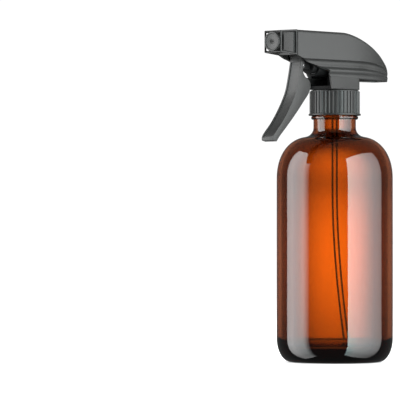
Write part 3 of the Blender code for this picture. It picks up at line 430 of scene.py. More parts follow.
# %% Geometry Nodes: turned part
def turned_tree():
    tree, given = new_tree("Turned part", "GeometryNodeTree", [
        GEOMETRY, ("Segments", "NodeSocketInt", 64), MATERIAL], [GEOMETRY])
    profile = node(tree, "GeometryNodeMeshToCurve", {0: given["Geometry"]})
    circle = node(tree, "GeometryNodeCurvePrimitiveCircle", {
        "Resolution": given["Segments"], "Radius": 1.0})
    swept = node(tree, "GeometryNodeCurveToMesh", {
        "Curve": circle.outputs[0], "Profile Curve": profile.outputs[0]})
    closed = node(tree, "GeometryNodeMergeByDistance", {
        "Geometry": swept.outputs[0], "Distance": 0.000002})
    return end_tree(tree, closed.outputs[0], given["Material"])


TURNED = turned_tree()


def turned(profile, segments, ring=False):
    """A mesh turned from (radius, height) points in mm, which run down the outer side."""
    points = [(radius - 1.0 / MM, -height, 0.0) for radius, height in profile]
    edges = [(i, i + 1) for i in range(len(points) - 1)]
    if ring:
        edges.append((len(points) - 1, 0))
    return grown(TURNED, raw_mesh("profile", points, edges, []), {"Segments": segments})


print("turned tree:", len(TURNED.nodes), "nodes")

# %% [markdown]
# ## The bottle's profile
# The glass is one closed skin: up the inside, over the lip, down the outside. The shoulder is
# a superellipse, a little squarer than a circle, and the heel rolls under in an ellipse. The
# neck is a standard one: it carries a bead, then the finish that the collar screws on.

# %% The bottle's profile
WALL_TOP = 118.0
SHOULDER_RISE = 27.5
HEEL_WIDTH, HEEL_HEIGHT = 9.0, 15.0
GLASS = 2.9
FLOOR = 9.5
NECK_RADIUS, NECK_FILLET = 13.7, 6.0
BEAD_RADIUS, BEAD_HEIGHT = 15.2, 2.3
FINISH_RADIUS, BORE_RADIUS = 12.7, 10.5
SHOULDER_TOP = WALL_TOP + SHOULDER_RISE
BEAD_BOTTOM = SHOULDER_TOP + 11.0
BEAD_TOP = BEAD_BOTTOM + BEAD_HEIGHT


def shoulder(radius, rise, inner, count):
    points = []
    for i in range(count + 1):
        u = math.sin(math.radians(90.0 * (1 - i / count)))
        points.append((inner + (radius - inner) * u, WALL_TOP + rise * superellipse(u, 2.2)))
    return points


def spread(start, end, count):
    """Points between two ends, so that a straight wall bends evenly under a tint or a thread."""
    return [tuple(a + (b - a) * i / count for a, b in zip(start, end)) for i in range(1, count)]


def bottle_profile():
    heel = arc((BODY_RADIUS - HEEL_WIDTH, HEEL_HEIGHT), (HEEL_WIDTH, HEEL_HEIGHT), 0, -90, 18)
    inside = arc((BODY_RADIUS - HEEL_WIDTH, HEEL_HEIGHT + 2.0),
                 (HEEL_WIDTH - GLASS, HEEL_HEIGHT + 2.0 - FLOOR), -90, 0, 14)
    dome = shoulder(BODY_RADIUS - GLASS, SHOULDER_RISE - GLASS * 0.7, BORE_RADIUS + NECK_FILLET, 24)
    inner_neck = arc((BORE_RADIUS + NECK_FILLET + 1.0, dome[-1][1] + NECK_FILLET),
                     (NECK_FILLET + 1.0, NECK_FILLET), -100, -180, 10)
    outer_neck = arc((NECK_RADIUS + NECK_FILLET, SHOULDER_TOP + NECK_FILLET - 0.2),
                     (NECK_FILLET, NECK_FILLET), -180, -105, 10)
    lip = arc((FINISH_RADIUS - 0.8, LIP - 0.8), (0.8, 0.8), 90, 0, 6)
    bead = arc((BEAD_RADIUS - 0.9, (BEAD_TOP + BEAD_BOTTOM) / 2),
               (0.9, BEAD_HEIGHT / 2), 80, -80, 10)
    outer = [p for p in reversed(shoulder(BODY_RADIUS, SHOULDER_RISE, NECK_RADIUS + 1.8, 32))
             if p[0] > outer_neck[-1][0] + 0.6]
    finish = (FINISH_RADIUS, BEAD_TOP)
    return ([(0.0, FLOOR)] + inside + spread(inside[-1], dome[0], 12) + dome[:-1] + inner_neck
            + [(BORE_RADIUS, LIP - 0.4), (BORE_RADIUS + 0.1, LIP - 0.1), (BORE_RADIUS + 0.4, LIP)]
            + lip + spread(lip[-1], finish, 34) + [finish] + bead + [(NECK_RADIUS, BEAD_BOTTOM)]
            + outer_neck + outer + spread(outer[-1], heel[0], 12) + heel + [(0.0, 0.0)])


print("profile points:", len(bottle_profile()))

# %% [markdown]
# ## The thread on the finish
# The thread is a rounded ridge that winds a turn and a quarter down the finish and fades out
# at both ends. Instead of joining a second solid to the glass, the tree pushes the skin's own
# points outwards where they lie near the helix, so the glass stays one clean skin.

# %% Geometry Nodes: thread
def thread_tree():
    tree, given = new_tree("Thread on a neck", "GeometryNodeTree", [
        GEOMETRY, ("Start height", "NodeSocketFloat", 0.167), ("Pitch", "NodeSocketFloat", 0.0042),
        ("Turns", "NodeSocketFloat", 1.25), ("Depth", "NodeSocketFloat", 0.0009),
        ("Width", "NodeSocketFloat", 0.0011), ("Wall radius", "NodeSocketFloat", 0.0127), MATERIAL,
    ], [GEOMETRY])
    place = node(tree, "GeometryNodeInputPosition").outputs[0]
    x, y, z = node(tree, "ShaderNodeSeparateXYZ", {0: place}).outputs
    level = node(tree, "ShaderNodeCombineXYZ", {"X": x, "Y": y}).outputs[0]
    radius = node(tree, "ShaderNodeVectorMath", {0: level}, operation="LENGTH").outputs["Value"]
    outwards = node(tree, "ShaderNodeVectorMath", {0: level}, operation="NORMALIZE").outputs[0]
    turn = calc(tree, "DIVIDE", calc(tree, "ARCTAN2", y, x), -math.tau)
    down = calc(tree, "DIVIDE", calc(tree, "SUBTRACT", given["Start height"], z), given["Pitch"])
    wound = calc(tree, "SUBTRACT", down, turn)
    whole = calc(tree, "ROUND", wound)
    along = calc(tree, "ADD", whole, turn)
    off = calc(tree, "MULTIPLY", calc(tree, "ABSOLUTE", calc(tree, "SUBTRACT", wound, whole)),
               given["Pitch"])

    def smooth(value, start, end):
        return node(tree, "ShaderNodeMapRange", {
            "Value": value, "From Min": start, "From Max": end},
            interpolation_type="SMOOTHSTEP").outputs[0]

    ridge = calc(tree, "SUBTRACT", 1.0, smooth(off, 0.0002, given["Width"]))
    ends = calc(tree, "MULTIPLY", smooth(along, 0.0, 0.08),
                smooth(calc(tree, "SUBTRACT", given["Turns"], along), 0.0, 0.08))
    outer = calc(tree, "GREATER_THAN", radius, calc(tree, "SUBTRACT", given["Wall radius"], 0.0003))
    push = calc(tree, "MULTIPLY", calc(tree, "MULTIPLY", ridge, ends),
                calc(tree, "MULTIPLY", outer, given["Depth"]))
    offset = node(tree, "ShaderNodeVectorMath", {0: outwards}, operation="SCALE")
    tree.links.new(push, offset.inputs["Scale"])
    moved = node(tree, "GeometryNodeSetPosition", {"Geometry": given["Geometry"],
                                                   "Offset": offset.outputs[0]})
    return end_tree(tree, moved.outputs[0], given["Material"])


THREAD = thread_tree()
glass_mesh = grown(THREAD, turned(bottle_profile(), 160), {
    "Start height": (LIP - 2.6) * MM, "Wall radius": FINISH_RADIUS * MM, "Material": AMBER_GLASS})
glass_bottle = add_piece("glass_bottle", glass_mesh, AMBER_GLASS, angle=60)
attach(glass_bottle, "bottle")
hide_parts("bottle")

# %% [markdown]
# ## The collar
# The collar is a turned cap with ribs for the fingers. One rib is a short bar with rounded
# edges, and the tree stands a copy of it at each point of a circle, turned to face outwards.
# They are made real at the end, because an exporter drops instances.

# %% Geometry Nodes: ribs
def rib_tree():
    tree, given = new_tree("Ribs round a collar", "GeometryNodeTree", [
        GEOMETRY, ("Count", "NodeSocketInt", 40), ("Radius", "NodeSocketFloat", 0.0157),
        ("Bottom", "NodeSocketFloat", 0.16), ("Height", "NodeSocketFloat", 0.014),
        ("Width", "NodeSocketFloat", 0.00125), ("Depth", "NodeSocketFloat", 0.0006), MATERIAL,
    ], [GEOMETRY])
    top = node(tree, "ShaderNodeCombineXYZ", {"Z": given["Height"]}).outputs[0]
    line = node(tree, "GeometryNodeCurvePrimitiveLine", {"End": top})
    section = node(tree, "GeometryNodeCurvePrimitiveQuadrilateral", {
        "Width": given["Width"], "Height": given["Width"]})
    rounded = node(tree, "GeometryNodeFilletCurve", {
        "Curve": section.outputs[0], "Radius": calc(tree, "MULTIPLY", given["Width"], 0.35)})
    for socket in rounded.inputs:
        if socket.name == "Mode":
            socket.default_value = "Poly"
        if socket.name == "Count":
            socket.default_value = 4
    bar = node(tree, "GeometryNodeCurveToMesh", {
        "Curve": line.outputs[0], "Profile Curve": rounded.outputs[0], "Fill Caps": True})
    reach = calc(tree, "SUBTRACT", calc(tree, "ADD", given["Radius"], given["Depth"]),
                 calc(tree, "MULTIPLY", given["Width"], 0.5))
    circle = node(tree, "GeometryNodeMeshCircle", {"Vertices": given["Count"], "Radius": reach})
    step = calc(tree, "DIVIDE", math.tau, given["Count"])
    index = node(tree, "GeometryNodeInputIndex").outputs[0]
    turn = node(tree, "ShaderNodeCombineXYZ", {"Z": calc(tree, "MULTIPLY", index, step)}).outputs[0]
    ribs = node(tree, "GeometryNodeInstanceOnPoints", {
        "Points": circle.outputs[0], "Instance": bar.outputs[0], "Rotation": turn})
    lift = node(tree, "ShaderNodeCombineXYZ", {"Z": given["Bottom"]}).outputs[0]
    raised = node(tree, "GeometryNodeTransform", {"Geometry": ribs.outputs[0], "Translation": lift})
    both = node(tree, "GeometryNodeJoinGeometry", {0: raised.outputs[0]})
    tree.links.new(given["Geometry"], both.inputs[0])
    return end_tree(tree, both.outputs[0], given["Material"])


RIBS = rib_tree()
COLLAR_BORE = 14.1
COLLAR_RADIUS = 15.7
FLANGE_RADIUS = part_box("screw_collar")[1].x / MM
LID_HOLE_RADIUS = 9.3
collar_profile = [
    (LID_HOLE_RADIUS, COLLAR_TOP - 0.2), (LID_HOLE_RADIUS + 0.2, COLLAR_TOP),
    *arc((COLLAR_RADIUS - 0.9, COLLAR_TOP - 0.9), (0.9, 0.9), 90, 0, 6),
    *spread((COLLAR_RADIUS, COLLAR_TOP - 0.9), (COLLAR_RADIUS, COLLAR_BOTTOM + 1.8), 4),
    *arc((COLLAR_RADIUS + 0.5, COLLAR_BOTTOM + 1.6), (0.5, 0.5), 180, 270, 4),
    *arc((FLANGE_RADIUS - 0.35, COLLAR_BOTTOM + 0.75), (0.35, 0.35), 90, 0, 4),
    *arc((FLANGE_RADIUS - 0.3, COLLAR_BOTTOM + 0.3), (0.3, 0.3), 0, -90, 4),
    (COLLAR_BORE + 0.3, COLLAR_BOTTOM), (COLLAR_BORE, COLLAR_BOTTOM + 0.3),
    (COLLAR_BORE, COLLAR_TOP - 2.1), (LID_HOLE_RADIUS, COLLAR_TOP - 2.1),
]
collar_mesh = grown(RIBS, turned(collar_profile, 120, ring=True), {
    "Radius": COLLAR_RADIUS * MM, "Bottom": (COLLAR_BOTTOM + 0.9) * MM,
    "Height": (COLLAR_TOP - COLLAR_BOTTOM - 1.7) * MM, "Material": BLACK_PLASTIC})
ribbed_collar = add_piece("ribbed_collar", collar_mesh, BLACK_PLASTIC)
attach(ribbed_collar, "collar")
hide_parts("screw_collar")

# %% [markdown]
# ## The dip tube
# The tube hangs straight through the neck and then bows towards the heel, because it was cut
# a little longer than the bottle is deep. A tree sweeps a circle along the bowed path, and a
# Solidify modifier gives it the thin wall that makes its two edges show.

# %% Geometry Nodes: tube along a path
def tube_tree():
    tree, given = new_tree("Tube along a path", "GeometryNodeTree", [
        GEOMETRY, ("Radius", "NodeSocketFloat", 0.002), ("Sides", "NodeSocketInt", 32), MATERIAL,
    ], [GEOMETRY])
    path = node(tree, "GeometryNodeMeshToCurve", {0: given["Geometry"]})
    circle = node(tree, "GeometryNodeCurvePrimitiveCircle", {
        "Resolution": given["Sides"], "Radius": given["Radius"]})
    swept = node(tree, "GeometryNodeCurveToMesh", {
        "Curve": path.outputs[0], "Profile Curve": circle.outputs[0]})
    return end_tree(tree, swept.outputs[0], given["Material"])


TUBE = tube_tree()
TUBE_BEND_AT = 110.0
TUBE_BOW, TUBE_BOW_ANGLE = 7.6, math.radians(40.0)
TUBE_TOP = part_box("dip_tube")[1].z / MM
TUBE_FOOT = FLOOR + 3.5
TUBE_RADIUS, TUBE_WALL, TUBE_BOW_POWER = 2.1, 0.55, 1.8


def tube_path(steps=60):
    points = []
    for i in range(steps + 1):
        height = TUBE_TOP + (TUBE_FOOT - TUBE_TOP) * i / steps
        share = max(0.0, (TUBE_BEND_AT - height) / (TUBE_BEND_AT - TUBE_FOOT))
        off = TUBE_BOW * share ** TUBE_BOW_POWER
        points.append((off * math.cos(TUBE_BOW_ANGLE), off * math.sin(TUBE_BOW_ANGLE), height))
    return points


path = tube_path()
path_mesh = raw_mesh("tube path", path, [(i, i + 1) for i in range(len(path) - 1)], [])
bore_guide = guide_object("tube", grown(TUBE, path_mesh, {"Radius": TUBE_RADIUS * MM}))
wall = bore_guide.modifiers.new("Wall", "SOLIDIFY")
wall.thickness = TUBE_WALL * MM
wall.offset = -1.0
long_tube = add_piece("long_tube", settled(bore_guide), CLEAR_TUBE, angle=50)
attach(long_tube, "head")
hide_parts("dip_tube")

# %% [markdown]
# ## Flat mouldings
# The trigger, its ears and lugs, and the cutters that carve it and the cap are plates: an
# outline in the (forward, up) plane, given a width. Booleans join and carve them, and a Bevel
# then breaks the edges, because no moulded edge is truly sharp.

# %% Plates, rods and booleans
def plate(name, outline, left, right):
    bm = bmesh.new()
    face = bm.faces.new([bm.verts.new(in_head(left, f, u) * MM) for f, u in outline])
    raised = bmesh.ops.extrude_face_region(bm, geom=[face])
    moved = [v for v in raised["geom"] if isinstance(v, bmesh.types.BMVert)]
    bmesh.ops.translate(bm, vec=((right - left) * MM, 0.0, 0.0), verts=moved)
    bmesh.ops.recalc_face_normals(bm, faces=bm.faces)
    mesh = bpy.data.meshes.new(name)
    bm.to_mesh(mesh)
    bm.free()
    return guide_object(name, mesh)


def rod(name, radius, start, end, sides=32):
    """A round cutter or boss between two places in the head."""
    start, end = start * MM, end * MM
    bm = bmesh.new()
    bmesh.ops.create_cone(bm, cap_ends=True, segments=sides, radius1=radius * MM,
                          radius2=radius * MM, depth=(end - start).length)
    turn = (end - start).to_track_quat("Z", "Y").to_matrix().to_4x4()
    bmesh.ops.transform(bm, matrix=Matrix.Translation((start + end) / 2) @ turn, verts=bm.verts)
    mesh = bpy.data.meshes.new(name)
    bm.to_mesh(mesh)
    bm.free()
    return guide_object(name, mesh)


def carve(guide, operation, *others):
    """Applies booleans one after another and returns the guide of the result."""
    for other in others:
        change = guide.modifiers.new(operation.title(), "BOOLEAN")
        change.object, change.operation, change.solver = other, operation, "EXACT"
    name = guide.name
    mesh = settled(guide)
    for other in others:
        bpy.data.objects.remove(other)
    return guide_object(name, mesh)


def soften(guide, width, segments=3, angle=40):
    edge = guide.modifiers.new("Edges", "BEVEL")
    edge.width = width * MM
    edge.segments = segments
    edge.limit_method = "ANGLE"
    edge.angle_limit = math.radians(angle)
    edge.use_clamp_overlap = True
    edge.harden_normals = False
    return guide


print("plates are drawn in the head's own plane")

# %% [markdown]
# ## The trigger
# The trigger is a curved channel. Its front is the finger face, slightly sunk between two rims,
# and two webs run back from it and narrow to the tip. Ears at the top hang it on the barrel,
# and two lugs behind it hold the pin that pushes the piston.

# %% The trigger
TRIGGER_HALF, TRIGGER_WALL, FINGER_WALL = 4.8, 1.4, 1.7
FACE_RIM, FACE_SUNK = 1.0, 0.6
EAR_INNER, EAR_THICKNESS, EAR_RADIUS = 4.5, 1.6, 3.1
LUG_INNER, LUG_OUTER, LUG_RADIUS = 2.4, 3.7, 2.5
PIVOT = (34.0, BARREL_HEIGHT)
LINK = tuple((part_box("link_pin")[0][i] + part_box("link_pin")[1][i]) / 2 / MM for i in (1, 2))
LINK = (-LINK[0], LINK[1] - COLLAR_TOP)
FINGER_FACE = [(37.6, 23.6), (38.3, 18.8), (40.7, 7.8), (43.8, -2.6), (49.5, -12.3),
               (57.0, -22.0), (63.6, -28.6), (65.9, -31.6), (65.8, -33.8)]
WEB_EDGE = [(62.6, -34.4), (59.6, -31.0), (52.6, -24.6), (43.2, -15.6), (36.0, -8.0),
            (31.4, -3.0), (29.6, 1.5), (31.0, 5.2), (34.8, 7.6), (37.1, 11.6), (35.8, 18.0),
            (34.4, 23.6)]


def trigger_blank():
    front, back = flow(FINGER_FACE, 9), flow(WEB_EDGE, 7)
    blank = plate("trigger_blank", front + back, -TRIGGER_HALF, TRIGGER_HALF)
    tip = front[-1][1]
    inner = [p for p in beside(front, FINGER_WALL) if p[1] > tip + 4.5]
    end = inner[-1]
    hollow = plate("hollow", inner + [(end[0] - 8.0, end[1] - 1.0), (20.0, -10.0), (20.0, 26.0)],
                   TRIGGER_WALL - TRIGGER_HALF, TRIGGER_HALF - TRIGGER_WALL)
    face = [p for p in front if tip + 1.8 < p[1] < 17.5]
    sunk = plate("sunk face", beside(face, FACE_SUNK) + list(reversed(beside(face, -3.0))),
                 FACE_RIM - TRIGGER_HALF, TRIGGER_HALF - FACE_RIM)
    return carve(blank, "DIFFERENCE", hollow, sunk)


def trigger_hangers():
    outer = EAR_INNER + EAR_THICKNESS
    outline = arc(PIVOT, (EAR_RADIUS, EAR_RADIUS), -10, 200, 24) + [(34.0, 20.4), (38.0, 20.4)]
    bar = plate("bar", [(34.2, 20.6), (37.8, 20.6), (37.4, 23.9), (34.4, 23.9)],
                0.1 - outer, outer - 0.1)
    ears = [plate("ear", outline, *sorted((EAR_INNER * s, outer * s))) for s in (-1, 1)]
    ring = arc(LINK, (LUG_RADIUS, LUG_RADIUS), 80, 280, 18) + [(38.6, 11.6), (38.0, 17.6)]
    lugs = [plate("lug", ring, *sorted((LUG_INNER * s, LUG_OUTER * s))) for s in (-1, 1)]
    return [bar] + ears + lugs


trigger_guide = carve(trigger_blank(), "UNION", *trigger_hangers())
trigger_guide = carve(
    trigger_guide, "DIFFERENCE",
    rod("pivot hole", 1.8, in_head(-9, *PIVOT), in_head(9, *PIVOT)),
    rod("link hole", 1.6, in_head(-4.2, *LINK), in_head(4.2, *LINK)))
finger_trigger = add_piece("finger_trigger", settled(soften(trigger_guide, 0.28)), BLACK_PLASTIC)
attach(finger_trigger, "trigger")
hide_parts("trigger")

# %% [markdown]
# ## The nozzle cap
# The cap is a tapered square tube with a sunk panel on each side for the fingers. Seen from
# the front it is open, and the round insert stands in the dark of that opening. It is built
# from a box whose sides are inset, and the floor of each panel slopes deeper to the back.

# %% The nozzle cap
CAP_BACK, CAP_FRONT = 46.0, 61.0
CAP_HALF_BACK, CAP_HALF_FRONT = 8.1, 7.0
CAP_BORE = 4.7
INSERT_RADIUS = 6.15
POCKET_HALF, POCKET_DEPTH = 6.5, 3.5
PANEL_RIM, PANEL_STEP, PANEL_SUNK, PANEL_SLOPE = 1.5, 0.5, 0.7, 1.0


def cap_shell():
    bm = bmesh.new()
    bmesh.ops.create_cube(bm, size=2.0)
    for vert in bm.verts:
        front = vert.co.y < 0
        half = CAP_HALF_FRONT if front else CAP_HALF_BACK
        vert.co = in_head(vert.co.x * half, CAP_FRONT if front else CAP_BACK,
                          BARREL_HEIGHT + vert.co.z * half) * MM
    bm.normal_update()
    sides = [face for face in bm.faces if abs(face.normal.y) < 0.5]
    bmesh.ops.inset_individual(bm, faces=sides, thickness=PANEL_RIM * MM, depth=0.0)
    bmesh.ops.inset_individual(bm, faces=sides, thickness=PANEL_STEP * MM, depth=-PANEL_SUNK * MM)
    middle = in_head(0, (CAP_FRONT + CAP_BACK) / 2, BARREL_HEIGHT).y * MM
    for face in sides:
        inwards = -face.normal.copy()
        for vert in face.verts:
            if vert.co.y > middle:
                vert.co += inwards * PANEL_SLOPE * MM
    mesh = bpy.data.meshes.new("cap")
    bm.to_mesh(mesh)
    bm.free()
    shell = soften(guide_object("cap", mesh), 0.35, 3, 25)
    return guide_object("cap", settled(shell))


def cap_cutter():
    """The bore, its snap groove and the square pocket in front, as turned and boxed cutters."""
    bore = turned([
        (0.0, CAP_FRONT + 1.0), (INSERT_RADIUS + 0.35, CAP_FRONT + 1.0),
        (INSERT_RADIUS + 0.35, CAP_FRONT - 1.8), (CAP_BORE, CAP_FRONT - 1.8),
        (CAP_BORE, 49.9), (CAP_BORE + 0.6, 49.6), (CAP_BORE + 0.6, 48.4), (CAP_BORE, 48.1),
        (CAP_BORE, CAP_BACK - 1.0), (0.0, CAP_BACK - 1.0)], 64)
    bore.transform(forward_axis(BARREL_HEIGHT))
    back, front = CAP_FRONT - POCKET_DEPTH, CAP_FRONT + 1
    low, high = BARREL_HEIGHT - POCKET_HALF, BARREL_HEIGHT + POCKET_HALF
    pocket = plate("pocket", [(back, low), (front, low), (front, high), (back, high)],
                   -POCKET_HALF, POCKET_HALF)
    return guide_object("bore", bore), pocket


cap_guide = carve(cap_shell(), "DIFFERENCE", *cap_cutter())
square_cap = add_piece("square_cap", settled(cap_guide), NOZZLE_PLASTIC)
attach(square_cap, "nozzle")
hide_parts("nozzle_cap")

# %% [markdown]
# ## The spray insert
# The spray comes out of a small turned disc: a raised rim, a dished face, and a dimple in the
# middle that leads to a hole less than a millimetre wide.

# %% The spray insert
FACE = CAP_FRONT + 1.0
insert_mesh = turned([
    (0.4, FACE - 1.35), (0.75, FACE - 1.3), (1.5, FACE - 0.75), (1.9, FACE - 0.6),
    (4.5, FACE - 0.55), (4.95, FACE - 0.45), (5.15, FACE - 0.1), (5.3, FACE),
    (INSERT_RADIUS - 0.3, FACE), (INSERT_RADIUS - 0.08, FACE - 0.1),
    (INSERT_RADIUS, FACE - 0.35), (INSERT_RADIUS, CAP_FRONT - 1.5),
    (CAP_BORE - 0.35, CAP_FRONT - 1.5), (CAP_BORE - 0.35, 57.8), (0.4, 57.8)], 96, ring=True)
insert_mesh.transform(forward_axis(BARREL_HEIGHT))
spray_insert = add_piece("spray_insert", insert_mesh, BLACK_PLASTIC)
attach(spray_insert, "nozzle")
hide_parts("orifice_insert")

# %% [markdown]
# ## The shroud's section
# The shroud hides the pump. Cut across, it has a flat top with soft shoulders, sides that lean
# out to a crisp edge, a long finger groove below that edge, a ridge, and a lip that turns in.
# Further back everything shrinks to a pointed tail, so each measure is a function of forward.

# %% The shroud's section
SHROUD_TOP, SHROUD_BOTTOM, SHROUD_BACK = 37.0, 6.9, -48.0
SHROUD_HALF = 12.4
GROOVE_TOP, GROOVE_DEPTH = 19.0, 1.8
SHROUD_WALL = 1.3


def shroud_top(forward):
    crown, base = 2.0, 8.0
    if forward >= crown:
        return SHROUD_TOP
    u = (crown - forward) / (crown - SHROUD_BACK + 0.8)
    return base + (SHROUD_TOP - base) * superellipse(u, 1.55)


def shroud_half(forward):
    if forward >= -5.0:
        return SHROUD_HALF + (CAP_HALF_BACK - SHROUD_HALF) * (forward + 5.0) / (CAP_BACK + 5.0)
    u = (-5.0 - forward) / (-5.0 - SHROUD_BACK + 1.0)
    return SHROUD_HALF * superellipse(u, 2.8)


def eased_half(forward):
    """The half width averaged over a few millimetres, so that the side has no crease."""
    reach = 9.0 * min(1.0, max(0.0, (forward + 34.0) / 20.0), max(0.0, (CAP_BACK - forward) / 9.0))
    return sum(shroud_half(forward + reach * step / 3) for step in range(-3, 4)) / 7


def groove_top(forward):
    u = max(0.0, (-12.0 - forward) / (-12.0 - SHROUD_BACK + 1.0))
    return min(8.0 + (GROOVE_TOP - 8.0) * superellipse(u, 2.0), shroud_top(forward) - 0.9)


def shroud_section(forward):
    top, half, groove = shroud_top(forward), eased_half(forward), groove_top(forward)
    fade = min(1.0, max(0.0, (forward - SHROUD_BACK) / 26.0)) ** 0.7
    lean = 1.2 * min(1.0, (top - groove) / (SHROUD_TOP - GROOVE_TOP))
    if forward > 0:
        lean *= 1.0 - forward / CAP_BACK
    corner = min(2.4, (top - groove) * 0.45)
    edge = half - lean
    depth = GROOVE_DEPTH * fade
    low = groove - SHROUD_BOTTOM

    def at(share):
        return SHROUD_BOTTOM + low * share

    side = [(edge, top - corner), (half, groove)]
    round_top = arc((edge - corner, top - corner), (corner, corner), 90, 0, 8)
    below = flow([
        (half, groove), (half - depth * 0.8, at(0.9)), (half - depth * 1.1, at(0.76)),
        (half - depth * 1.25, at(0.62)), (half + 0.2 * fade, at(0.5)),
        (half + 0.3 * fade, at(0.38)), (half - depth * 0.5, at(0.22)),
        (half - depth * 0.5 - 0.3, SHROUD_BOTTOM + 0.7 * fade),
        (half - depth * 0.5 - 1.0 - 0.8 * fade, SHROUD_BOTTOM)], 4)
    return ([(0.0, top), (edge * 0.5, top)] + round_top[:-1] + [side[0]]
            + spread(side[0], side[1], 6) + below)


print("section points at the crown:", len(shroud_section(0.0)))

# %% [markdown]
# ## The front lip
# In front of the pump the shroud's lower edge sweeps up to the nozzle, so that the trigger has
# room to swing. Each section is simply cut off at that sweep: points below it are drawn up to
# the cut, which leaves the rest of the section, and its crisp edges, where they were.

# %% The front lip
LIP_SWEEP = [(16.25, 6.9), (16.3, 9.7), (17.6, 12.2), (21.9, 14.0), (27.8, 15.3), (34.6, 16.7),
             (40.5, 18.9), (45.8, 20.9)]


def lip_height(forward):
    sweep = flow(LIP_SWEEP, 6)
    for (f0, u0), (f1, u1) in zip(sweep, sweep[1:]):
        if f0 <= forward <= f1 and f1 > f0:
            return u0 + (u1 - u0) * (forward - f0) / (f1 - f0)
    return SHROUD_BOTTOM if forward < sweep[0][0] else sweep[-1][1]


def cut_section(forward):
    lip, kept = lip_height(forward), []
    for x, up in shroud_section(forward):
        if up < lip - 1e-6:
            (x0, up0) = kept[-1]
            if up0 > lip:
                share = (up0 - lip) / (up0 - up)
                x, up = x0 + (x - x0) * share, lip
            else:
                x, up = x0, up0
        kept.append((x, up))
    return kept


print("the lip is %.1f mm higher at the nozzle" % (lip_height(45.0) - SHROUD_BOTTOM))

# %% [markdown]
# ## The shroud
# The sections are skinned from the nozzle to the tail. A wall is then given to the skin by
# hand: each point is copied inwards along a normal that has been averaged with its
# neighbours', because plain offsets would cross each other under the crisp edges, and the wall
# thins where the tail has no room for it.

# %% The shroud
BLOCK_HALF, BLOCK_BACK = 11.5, -13.0
BLOCK_FRONT_LOW, BLOCK_FRONT_HIGH, BLOCK_TOP = 15.4, 17.6, 8.0


def shroud_skin():
    front = CAP_BACK - 0.3
    stations = [front + (17.9 - front) * i / 16 for i in range(16)]
    stations += [17.9 + (16.2 - 17.9) * i / 8 for i in range(8)]
    stations += [16.2 + (2.0 - 16.2) * i / 8 for i in range(8)]
    stations += [2.0 + (SHROUD_BACK - 2.0) * math.sin(math.radians(90.0 * i / 40))
                 for i in range(41)]
    bm = bmesh.new()
    rows = []
    for f in stations:
        half = cut_section(f)
        whole = [(-x, up) for x, up in reversed(half[1:])] + half
        rows.append([bm.verts.new(in_head(x, f, up)) for x, up in whole])
    for near, far in zip(rows, rows[1:]):
        for i in range(len(near) - 1):
            bm.faces.new((near[i + 1], near[i], far[i], far[i + 1]))
    bm.faces.new(list(reversed(rows[-1])))
    bmesh.ops.remove_doubles(bm, verts=bm.verts, dist=0.002)
    bmesh.ops.recalc_face_normals(bm, faces=bm.faces)
    if max(bm.faces, key=lambda face: face.calc_center_median().z).normal.z < 0:
        bmesh.ops.reverse_faces(bm, faces=bm.faces)
    return bm


def averaged_normals(bm, rounds):
    bm.normal_update()
    normals = {vert: vert.normal.copy() for vert in bm.verts}
    for _ in range(rounds):
        normals = {vert: sum((normals[edge.other_vert(vert)] for edge in vert.link_edges),
                             normals[vert] * 2.0).normalized() for vert in bm.verts}
    return normals


def give_wall(bm, thickness):
    normals = averaged_normals(bm, 5)
    outer_faces = list(bm.faces)
    rim = [edge for edge in bm.edges if edge.is_boundary]
    inner = {}
    for vert in list(bm.verts):
        forward = -vert.co.y
        room = min(shroud_top(forward) - SHROUD_BOTTOM, shroud_half(forward))
        inner[vert] = bm.verts.new(vert.co - normals[vert] * min(thickness, 0.35 * room))
    for face in outer_faces:
        bm.faces.new([inner[vert] for vert in reversed(face.verts)])
    for edge in rim:
        a, b = edge.verts
        bm.faces.new((a, b, inner[b], inner[a]))
    bmesh.ops.recalc_face_normals(bm, faces=bm.faces)
    bmesh.ops.scale(bm, vec=(MM, MM, MM), verts=bm.verts)
    mesh = bpy.data.meshes.new("shroud")
    bm.to_mesh(mesh)
    bm.free()
    return mesh


shroud_mesh = give_wall(shroud_skin(), SHROUD_WALL)
head_shroud = add_piece("head_shroud", shroud_mesh, BLACK_PLASTIC, angle=28)
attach(head_shroud, "head")
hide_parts("shroud")

# %% [markdown]
# ## The skirt
# Below the shroud a skirt stands on the collar, closed at the back and at both sides and open
# in front, where the pump looks out. Its front edges lean forward. One wall line, drawn once
# outside and once inside, is carried up and closed all round.

# %% The skirt
def skirt():
    def loop(up, front, trim=0.0):
        def line(inset):
            half, back, r = BLOCK_HALF - inset, BLOCK_BACK + inset, 2.6 - inset
            turns = [((r - half, back + r), 180), ((half - r, back + r), 270)]
            return ([(-half, front)]
                    + [p for at, start in turns for p in arc(at, (r, r), start, start + 90, 10)]
                    + [(half, front)])

        return [(x, -f, COLLAR_TOP + up)
                for x, f in line(trim) + list(reversed(line(SHROUD_WALL)))]

    low = 0.3
    rings = [loop(low, BLOCK_FRONT_LOW, 0.2), loop(low + 0.3, BLOCK_FRONT_LOW + 0.1),
             loop(BLOCK_TOP, BLOCK_FRONT_HIGH)]
    count = len(rings[0])
    faces = [(a * count + i, a * count + (i + 1) % count,
              (a + 1) * count + (i + 1) % count, (a + 1) * count + i)
             for a in range(len(rings) - 1) for i in range(count)]
    # Top and foot are strips between the outer and the inner line.
    for first in (0, (len(rings) - 1) * count):
        faces += [(first + i, first + i + 1, first + count - 2 - i, first + count - 1 - i)
                  for i in range(count // 2 - 1)]
    mesh = raw_mesh("skirt", [p for ring in rings for p in ring], [], faces)
    bm = bmesh.new()
    bm.from_mesh(mesh)
    bmesh.ops.recalc_face_normals(bm, faces=bm.faces)
    bm.to_mesh(mesh)
    bm.free()
    return mesh


collar_skirt = add_piece("collar_skirt", skirt(), BLACK_PLASTIC, angle=30)
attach(collar_skirt, "head")

